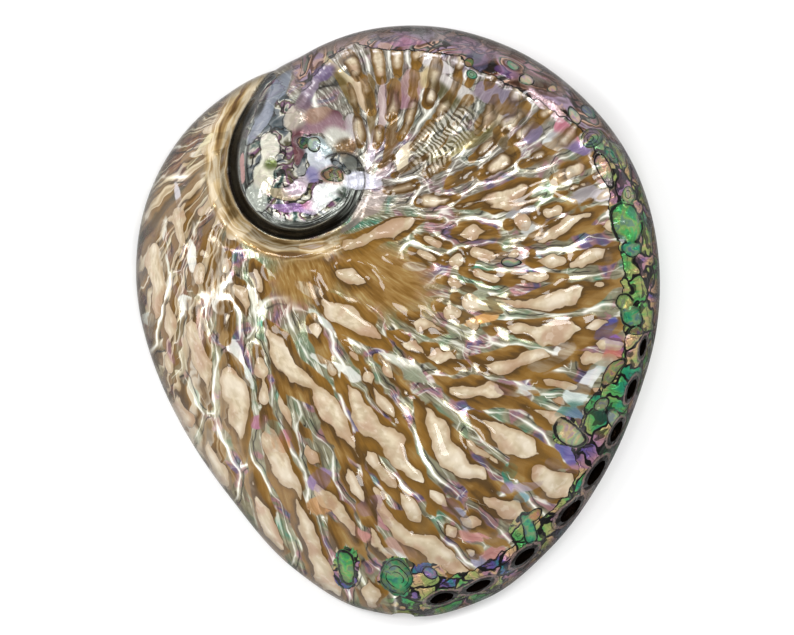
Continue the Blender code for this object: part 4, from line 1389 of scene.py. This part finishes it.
class ShellFinish:
    """Polished shell: cream crests, caramel bands, silver valleys, bright cells along the holes."""

    STORED = ("crest", "valley", "flank", "lengthwise", "plain", "inside", "below", "row", "seam",
              "growth", "coil", "streak", "across", "edge", "outside_spire", "hole", "lobe", "zebra",
              "eye", "ripple")
    LILAC_TO_CELLS = (346, 360)
    LILAC_END = (352, 342)
    BAND_START, BAND_END = (246, 252), (444, 440)
    SOFT_SIDE = (360, 338)
    STRIPS = (452, 490)
    COAT_ROUGHNESS = 0.03
    COAT_IOR = 1.6
    SPECULAR = 0.15

    def material(self) -> bpy.types.Material:
        """Paint the finish.

        Returns:
            The material of the shell.
        """
        material = bpy.data.materials.new("polished_abalone")
        self.paint = paint = Paint(material)
        self._read()
        body, silver = self._body()
        body = self._groove_side(body)
        body, spire = self._spire(body)
        patch_tint, patch = paint.stored_colour("patches")
        torn = patch + self.ragged * 0.6
        sharp = torn.step(0.36, 0.7) * (1 - self.groove_shade)
        blend = ((silver * 0.7).most(spire * 0.35) + self.strand * 1.1 - 0.35).least(0.8).most(0.0)
        body = paint.mix(sharp * blend, body, patch_tint)
        drawn = torn.peak(0.4, 0.07) * spire.most(self.soft * 0.5)
        body = paint.mix(drawn * (1 - self.groove_shade) * 0.85, body, colour("17110E"))
        body = self._zebra(body)
        body, band = self._hole_band(body)
        body = paint.mix(sharp * band * self.growth.step(*self.LILAC_END) * 0.6, body, patch_tint)
        body = self._eyes(body)
        body = self._holes(body)
        # darker towards the outline
        body = paint.mix(self.edge.step(4.5, 0.0) * 0.45, body, colour("33260F"))
        shown = paint.mix(self.inside, paint.contrast(body), self._nacre())
        surface = paint.surface
        paint.tree.links.new(shown, surface.inputs["Base Color"])
        pearly = (silver * 0.5).most(spire * 0.3).most(band * 0.3).most(sharp * 0.3)
        shine = pearly * (1 - self.inside) + self.inside * 0.25
        paint.tree.links.new(shine.socket, surface.inputs["Metallic"])
        rough = 0.16 + self.speck * 0.12
        paint.tree.links.new(rough.socket, surface.inputs["Roughness"])
        coat = (self.edge.step(0.0, 14.0) * 0.45 + 0.05).least(1 - self.groove_shade)
        paint.tree.links.new(coat.socket, surface.inputs["Coat Weight"])
        surface.inputs["Coat Roughness"].default_value = self.COAT_ROUGHNESS
        surface.inputs["Coat IOR"].default_value = self.COAT_IOR
        surface.inputs["Specular IOR Level"].default_value = self.SPECULAR
        surface.inputs["Specular Tint"].default_value = colour("7C766C")
        self._relief(spire, band)
        return material

    def _read(self) -> None:
        """Fetch what is stored on the shell and the noises that several layers share."""
        paint = self.paint
        for name in self.STORED:
            setattr(self, name, paint.stored(name))
        scaled = paint.node("ShaderNodeVectorMath", {"operation": "SCALE"},
                            {0: paint.place, "Scale": 1 / MM})
        self.place = scaled.outputs[0]
        self.flow = paint.vector(self.streak * 0.30, self.across * 6.0, self.growth * 0.004)
        self.speck = paint.noise(self.place, 1.1, 4.0)
        self.wobble = paint.noise(self.place, 0.16, 1.5) - 0.5
        self.ragged = paint.noise(self.place, 0.6, 2.0) - 0.5
        self.drift = paint.noise(self.place, 0.055, 2.0)
        self.strand = paint.noise(self.flow, 2.2, 4.0, 0.4)

    def _body(self) -> tuple[bpy.types.NodeSocket, Value]:
        """Cream crests, caramel bands and silver valleys, with a painted highlight along each valley.

        Returns:
            The colour, and how silver each place is.
        """
        paint = self.paint
        # some crests stay brown, and the side by the spire is softer and more silver
        fading = (paint.noise(self.place, 0.07, 1.0) - 0.56).most(0.0) * 12.0
        self.soft = self.streak.step(*self.SOFT_SIDE)
        crest = self.crest + self.wobble * 3.4 + self.ragged * 0.5 + fading - 0.4
        core = ((0.1 - self.soft * 0.3 - crest) / (0.22 + self.soft * 1.0)).least(1.0).most(0.0)
        # silver fills the valleys, here wide and there narrow, and never crosses a ridge
        reach = paint.noise(self.place, 0.06, 2.0).step(0.37, 0.6)
        between = self.valley.least(4.0 - self.crest)
        half_width = 0.8 + reach * 2.4 + self.wobble * 1.8 + self.soft * 1.4
        beyond = between + self.ragged * 0.5 - half_width
        open_ground = (1 - self.plain) * (self.lengthwise + self.wobble * 1.2).step(0.1, 0.7)
        silver = ((0.3 + self.soft * 0.8 - beyond) / (0.6 + self.soft * 1.4)).least(1.0).most(0.0)
        silver = silver * open_ground
        body = paint.mix(silver, self._caramel(crest), self._pearl())
        body = paint.mix(self.streak.step(*self.STRIPS) * 0.65, body, self._strips())
        # a dark line on one side of each valley, and a painted highlight on the other: a white glint line,
        # broad in some places
        keep_line = paint.noise(self.place, 0.11, 1.0)
        in_valley = self.valley.step(2.0, 1.3) * open_ground
        shift = self.wobble * 1.4
        line = self.flank.peak(shift - 0.75, 0.2) * keep_line.step(0.42, 0.5)
        body = paint.mix(line * in_valley * 0.85, body, colour("1C1408"))
        bright = paint.noise(self.place, 0.085, 2.0).step(0.46, 0.62)
        painted_glint = self.flank.peak(shift + 0.35, bright * 0.45 + 0.12) * (bright * 0.5 + 0.5)
        body = paint.mix(painted_glint * in_valley, body, colour("FDFCF4"))
        body = paint.mix(core, body, self._cream())
        rim = crest.peak(0.12, 0.1) * keep_line.step(0.44, 0.5)
        body = paint.mix(rim * 0.55, body, colour("4A2E0C"))
        return body, silver * (1 - core)

    def _caramel(self, crest: Value) -> bpy.types.NodeSocket:
        """Brown bands, deepest next to the crests, with lengthwise strands.

        Args:
            crest: distance to the nearest crest.

        Returns:
            The colour.
        """
        paint = self.paint
        depth = (crest.least(2.6) * 0.2 + (self.strand - 0.5) * 1.1).step(-0.1, 1.0)
        brown = paint.ramp(depth, (0.0, "664A18"), (0.3, "8A6828"), (0.6, "9E8048"), (0.95, "B4A274"))
        gold = paint.noise(self.place, 0.045, 1.0).step(0.5, 0.62)
        brown = paint.mix(gold * 0.45, brown, colour("987426"))
        return paint.mix(self.drift.step(0.56, 0.72) * 0.5, brown, colour("75664C"))

    def _strips(self) -> bpy.types.NodeSocket:
        """Long narrow strips of brown, cream and silver with crisp sides."""
        paint = self.paint
        where = paint.vector(self.streak * 0.085 + self.wobble * 0.7, self.across * 0.8, 0.0)
        level = paint.noise(where, 1.0, 2.0, 0.2)
        return paint.ramp(level, (0.28, "3E2A10"), (0.38, "8A6C3C"), (0.45, "80622E"), (0.46, "E4DCC8"),
                          (0.50, "BCAE94"), (0.51, "4E3818"), (0.57, "9A7A48"), (0.58, "F2EFE4"),
                          (0.63, "A89C84"), (0.64, "5C4420"), (0.72, "94743C"))

    def _cream(self) -> bpy.types.NodeSocket:
        """Pale crests where the layers are ground through, with faint slanting lines."""
        paint = self.paint
        hatch = paint.noise(paint.vector(self.streak * 0.3, self.across * 40.0, 0.0), 1.5, 2.0)
        hatched = hatch.step(0.3, 0.7) * self.across.step(0.2, 0.6) * 0.6 + 0.3
        cream = paint.mix(hatched, colour("B2A48A"), colour("D8CEBA"))
        cloud = paint.noise(self.place, 0.12, 1.0, 0.3)
        cream = paint.mix(cloud.step(0.5, 0.66) * 0.55, cream, colour("B4947E"))
        cream = paint.mix(cloud.step(0.5, 0.34) * 0.7, cream, colour("DCD4C6"))
        pool = paint.noise(self.place, 0.5, 1.0).step(0.58, 0.64)
        cream = paint.mix(pool * 0.2, cream, colour("E9E4DA"))
        return paint.mix((self.crest + self.wobble * 3.0).step(-1.2, 0.1) * 0.4, cream, colour("A2845C"))

    def _pearl(self) -> bpy.types.NodeSocket:
        """Silver mother-of-pearl with a faint play of colours, and painted reflections: dark to white
        strands along the flow.
        """
        paint = self.paint
        hue = paint.noise(self.place, 0.10, 2.5, 0.8)
        tint = paint.ramp(hue, (0.26, "5EA08A"), (0.36, "8F9C82"), (0.44, "A9A68E"), (0.52, "98927C"),
                          (0.58, "B08C8C"), (0.66, "7C6C8E"), (0.74, "648C8C"))
        tint = paint.mix(self.soft * 0.5, tint, colour("A0969A"))
        # painted reflections: dark and white strands stand in for the glints on the pearl
        strands = paint.noise(self.flow, 3.4, 3.0, 0.6)
        pearl = paint.mix(strands.step(0.48, 0.34) * 0.7, tint, colour("645A40"))
        return paint.mix(strands.step(0.54, 0.68) * 0.75, pearl, colour("ECECE2"))

    def _groove_side(self, body: bpy.types.NodeSocket) -> bpy.types.NodeSocket:
        """Smooth pale fold with lengthwise streaks that runs along the outer side of the groove."""
        paint = self.paint
        place = self.outside_spire + self.wobble * 2.0
        lengthwise = paint.noise(paint.vector(place * 0.42, self.coil * 0.03, 0.0), 1.0, 2.0, 0.3)
        streaks = paint.ramp(lengthwise, (0.3, "7A5C30"), (0.4, "A48A5C"), (0.47, "C9B690"),
                             (0.54, "DDD2BC"), (0.62, "B39A6E"), (0.72, "C8BCB4"))
        beside = place.step(0.2, 1.0) * place.step(8.0, 5.6)
        return paint.mix(beside * self.coil.step(70, 100) * self.coil.step(246, 236), body, streaks)

    def _spire(self, body: bpy.types.NodeSocket) -> tuple[bpy.types.NodeSocket, Value]:
        """Pearl of the spire: grey wall with coil lines, clouded crown, and painted shade: the groove along
        the suture near black.

        Args:
            body: colour outside the spire.

        Returns:
            The colour, and how strongly the spire shows.
        """
        paint = self.paint
        side = self.outside_spire
        here = side.step(0.8, -0.4) * self.growth.step(262, 240)
        bent = paint.bent(self.place, 0.22, 5.0)
        hue = paint.noise(bent, 0.13, 1.8, 0.6)
        crown = paint.ramp(hue, (0.27, "1E1A16"), (0.34, "56646A"), (0.40, "8E9294"), (0.45, "D8D6CC"),
                           (0.50, "6A6446"), (0.55, "8A6480"), (0.60, "C8C2B8"), (0.66, "4E6A62"),
                           (0.74, "2E2620"))
        crumbs = paint.noise(bent, 0.17, 1.0)
        crown = paint.mix((crumbs * 28.0).wave().step(0.9, 0.98) * 0.9, crown, colour("14100C"))
        coils = paint.noise(paint.vector(side * 1.5, self.coil * 0.02, 0.0), 1.0, 2.0, 0.2)
        wall = paint.ramp(coils, (0.3, "16150F"), (0.42, "3E3F3A"), (0.52, "7C807A"), (0.6, "BCC0BA"),
                          (0.7, "2A2A24"))
        on_wall = side.step(-6.5, -4.5) * self.coil.step(-60, 20) * self.coil.step(235, 190)
        pearl = paint.mix(on_wall, crown, wall)
        shown = paint.mix(here, body, pearl)
        # painted shade: the deep groove along the suture, and a thin line along the suture of the inner
        # whorls, near black
        along = self.coil.step(40, 90) * self.coil.step(240, 215)
        groove = side.step(-3.2, -1.9) * side.step(1.1, 0.3) * along
        thin = side.peak(0.1, 0.35) * self.coil.step(-150, -100)
        self.groove_shade = dark = groove.most(thin * 0.8)
        return paint.mix(dark * 0.96, shown, colour("0C0B09")), here * (1 - dark)

    def _zebra(self, body: bpy.types.NodeSocket) -> bpy.types.NodeSocket:
        """Patch of fine light and dark lines across the streaks, with black spots."""
        paint = self.paint
        ripple = (self.across * 300.0 + self.wobble * 24.0 + self.ragged * 5.0).wave()
        spots = paint.noise(self.place, 0.2, 1.0).step(0.5, 0.58)
        dark = paint.mix(spots, colour("6E6648"), colour("0C0C0C"))
        lines = paint.mix(ripple.step(0.35, 0.65), dark, colour("D9D6CC"))
        return paint.mix(self.zebra * self.strand.step(0.36, 0.5) * 0.75, body, lines)

    def _hole_band(self, body: bpy.types.NodeSocket) -> tuple[bpy.types.NodeSocket, Value]:
        """Bright band along the row of holes: lilac at the spire end, outlined green cells further on.

        Args:
            body: colour under it.

        Returns:
            The colour, and how strongly the band shows.
        """
        paint = self.paint
        outside = self.seam + self.wobble * 5.0 + self.ragged * 1.6
        along = self.growth.step(*self.BAND_START) * self.growth.step(*self.BAND_END)
        celled = self.growth.step(*self.LILAC_TO_CELLS)
        lobe = (self.lobe + self.ragged * 0.5).step(0.45, 0.55)
        band = (outside.step(-0.15, 0.15) * along).most(lobe)
        lengthwise = paint.noise(paint.vector(self.growth * 0.09, self.row * 0.15, 0.0), 1.0, 1.5, 0.9)
        lilac = paint.ramp(lengthwise, (0.28, "2A1A10"), (0.35, "6E4628"), (0.40, "B0929C"),
                           (0.45, "84887E"), (0.50, "C8AC9C"), (0.55, "6A442A"), (0.60, "AC9AAC"),
                           (0.66, "4A3020"))
        bent = paint.bent(self.place, 0.16, 8.0)
        edge, own = paint.cells(bent, 0.15)
        hue = own * 0.4 + (self.strand - 0.5) * 0.6 + (self.drift - 0.5) * 1.2 + 0.24
        cells = paint.ramp(hue, (0.05, "14706C"), (0.16, "2E9A78"), (0.27, "62A866"), (0.38, "A2AC70"),
                           (0.5, "C8AE8C"), (0.6, "B08C9C"), (0.72, "6C5C9C"), (0.86, "3A8890"))
        dark_ground = paint.noise(bent, 0.26, 1.0).step(0.56, 0.6)
        cells = paint.mix(dark_ground * 0.75, cells, colour("1C1710"))
        cells = paint.mix(edge.peak(0.2, 0.012) * 0.7, cells, colour("14100C"))
        cells = paint.mix(edge.step(0.08, 0.045), cells, colour("0B0907"))
        self.pillow = edge.step(0.0, 0.3)
        outlined = edge.step(0.07, 0.04) * self.drift.step(0.46, 0.52)
        lilac = paint.mix(outlined * 0.85, lilac, colour("14100C"))
        ringed = own.step(0.62, 0.68) * edge.step(0.24, 0.28)
        lilac = paint.mix(ringed * 0.8, lilac, colour("C4ACA4"))
        colours = paint.mix(celled, lilac, cells)
        flowing = (lengthwise * 30.0).wave().step(0.92, 0.98)
        colours = paint.mix(flowing * (1 - celled) * 0.8, colours, colour("1C1410"))
        rind = self.edge.step(3.0, 0.6) * self.growth.step(256, 270) * self.growth.step(440, 425)
        colours = paint.mix(rind * 0.6, colours, colour("4E484A"))
        shown = paint.mix(band, body, colours)
        seam = outside.peak(0.0, 0.35) * along
        # painted highlight: a white streaky line beside the seam
        shine = outside.peak(-1.2, 0.6) * along * self.growth.step(380, 340)
        shown = paint.mix(shine * self.strand.step(0.4, 0.6) * 0.8, shown, colour("F4F0F2"))
        return paint.mix(seam.step(0.3, 0.7) * 0.92, shown, colour("120E0B")), band

    def _eyes(self, under: bpy.types.NodeSocket) -> bpy.types.NodeSocket:
        """Outlined eyes, some with rings."""
        paint = self.paint
        tint, _ = paint.stored_colour("eye_tint")
        away = self.eye + self.ragged * 0.22 + self.wobble * 0.5
        ripple = self.ripple + self.ragged * 0.22 + self.wobble * 0.5
        ring = (ripple * (2 * math.pi) + math.pi / 2).wave().step(0.88, 0.97) * away.step(0.2, 0.3)
        play = paint.ramp(paint.noise(self.place, 0.28, 2.0, 0.6), (0.34, "1C6A78"), (0.44, "58A86C"),
                          (0.54, "B0A070"), (0.64, "8A6A94"))
        disc = paint.mix(0.5, tint, play)
        disc = paint.mix(away.step(0.55, 1.05) * 0.45, disc, colour("1A2E22"))
        disc = paint.mix(ring * self.strand.step(0.3, 0.46), disc, colour("0E0B08"))
        return paint.mix(away.step(1.16, 1.08), under, disc)

    def _holes(self, under: bpy.types.NodeSocket) -> bpy.types.NodeSocket:
        """Pale rims of the breathing holes, and painted shade: their walls dark as a hole's shadowed
        inside.
        """
        paint = self.paint
        around = self.hole + self.ragged * 0.3
        rim = around.step(1.72, 1.6)
        shown = paint.mix(around.peak(1.74, 0.07) * 0.8, under, colour("0E0B09"))
        shown = paint.mix(rim * self.speck.step(0.3, 0.5), shown, colour("8E7C78"))
        # painted shade: the walls of each hole near black
        wall = around.step(1.46, 1.34)
        return paint.mix(wall, shown, colour("140B07"))

    def _nacre(self) -> bpy.types.NodeSocket:
        """Mother-of-pearl of the inside: silver with green, pink and blue clouds, and painted shade on the
        walls of the breathing holes.
        """
        paint = self.paint
        hue = paint.noise(self.place, 0.035, 3.0, 1.5)
        clouds = paint.ramp(hue, (0.28, "6FB8A0"), (0.38, "A9CDB8"), (0.46, "D8DAD2"), (0.54, "D6BCC8"),
                            (0.62, "A9A2D0"), (0.72, "7FB4C4"))
        # painted shade: the hole walls below the back near black
        return paint.mix(self.hole.step(1.2, 1.08) * self.below.step(0.1, 0.35), clouds, colour("1C100A"))

    def _relief(self, spire: Value, band: Value) -> None:
        """Fine growth lines, uneven pearl of the spire and raised cells of the bright band.

        Args:
            spire: how strongly the spire shows.
            band: how strongly the bright band shows.
        """
        paint = self.paint
        lines = paint.noise(paint.vector(self.streak * 0.6, self.across * 5.0, 0.0), 1.4, 2.0, 0.3)
        crumbs = paint.noise(self.place, 0.3, 1.5, 0.8)
        cells = self.pillow * band * self.growth.step(340, 356)
        height = lines * 0.16 + crumbs * spire * 1.2 + cells * 0.9 + self.speck * band * 0.5
        made = paint.node("ShaderNodeBump", {}, {"Strength": 1.0, "Distance": 0.0005, "Height": height})
        paint.tree.links.new(made.outputs[0], paint.surface.inputs["Normal"])


@dataclass(frozen=True)
class SoftBox:
    """Square area light that looks at the shell: name, place in metres, side and power in watts."""

    name: str
    place: tuple[float, float, float]
    size: float
    power: float

    def hang(self) -> None:
        """Add the light."""
        target = Vector((0, 0, 0.02))
        bpy.ops.object.light_add(type="AREA", location=self.place)
        lamp = bpy.context.object
        lamp.name = self.name
        lamp.data.energy = self.power
        lamp.data.size = self.size
        lamp.rotation_mode = "QUATERNION"
        lamp.rotation_quaternion = (target - Vector(self.place)).to_track_quat("-Z", "Y")


@dataclass
class Studio:
    """Pale floor, soft light and a camera straight above, in metres."""

    picture_width: float = 0.2218
    aim: tuple[float, float] = (0.00014, 0.0014)
    aim_height: float = 0.010
    lens: float = 200.0
    sensor: float = 36.0
    floor_size: float = 4.0
    floor_gap: float = 0.0002
    sky_strength: float = 0.57
    soft_boxes: tuple[SoftBox, ...] = (
        SoftBox("left_window", (-0.50, 0.30, 0.50), 0.15, 0.95),
        SoftBox("low_left_window", (-0.60, -0.10, 0.25), 0.20, 0.95),
        SoftBox("near_left_window", (-0.34, 0.10, 0.66), 0.16, 0.8),
        SoftBox("right_window", (0.50, 0.22, 0.45), 0.16, 1.2),
        SoftBox("near_right_window", (0.26, 0.30, 0.66), 0.16, 0.9),
        SoftBox("front_window", (0.16, -0.45, 0.60), 0.16, 1.0),
        SoftBox("top_window", (-0.06, 0.10, 0.80), 0.15, 0.9),
    )

    def build(self) -> None:
        """Set the stage."""
        self._floor()
        self._sky()
        for soft_box in self.soft_boxes:
            soft_box.hang()
        self._camera()
        bpy.context.scene.view_settings.view_transform = "Standard"

    def _floor(self) -> None:
        """Plain pale floor just under the rim."""
        bpy.ops.mesh.primitive_plane_add(size=self.floor_size, location=(0, 0, -self.floor_gap))
        floor = bpy.context.object
        floor.name = "floor"
        material = bpy.data.materials.new("pale_floor")
        material.use_nodes = True
        surface = material.node_tree.nodes["Principled BSDF"]
        surface.inputs["Base Color"].default_value = colour("FAFAFA")
        surface.inputs["Roughness"].default_value = 0.8
        floor.data.materials.append(material)

    def _sky(self) -> None:
        """Even soft light from all round."""
        world = bpy.data.worlds.new("studio")
        bpy.context.scene.world = world
        world.use_nodes = True
        back = world.node_tree.nodes["Background"]
        back.inputs["Color"].default_value = (1, 1, 1, 1)
        back.inputs["Strength"].default_value = self.sky_strength

    def _camera(self) -> None:
        """Camera straight above, with the photograph's frame."""
        bpy.ops.object.camera_add()
        camera = bpy.context.object
        camera.data.lens = self.lens
        camera.data.sensor_width = self.sensor
        distance = self.picture_width * self.lens / self.sensor
        camera.location = (*self.aim, self.aim_height + distance)
        camera.rotation_euler = (0, 0, 0)
        camera.data.clip_start = 0.01
        camera.data.clip_end = 10
        bpy.context.scene.camera = camera


def main() -> None:
    """Load the frame, dress the shell and set the stage."""
    logging.basicConfig(level=logging.INFO, format="%(name)s: %(message)s")
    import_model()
    Studio().build()
    shell = AbaloneShell().build()
    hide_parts("shell")
    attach(shell, "root")
    LOG.info("%s has %d faces", shell.name, len(shell.data.polygons))


if __name__ == "__main__":
    main()
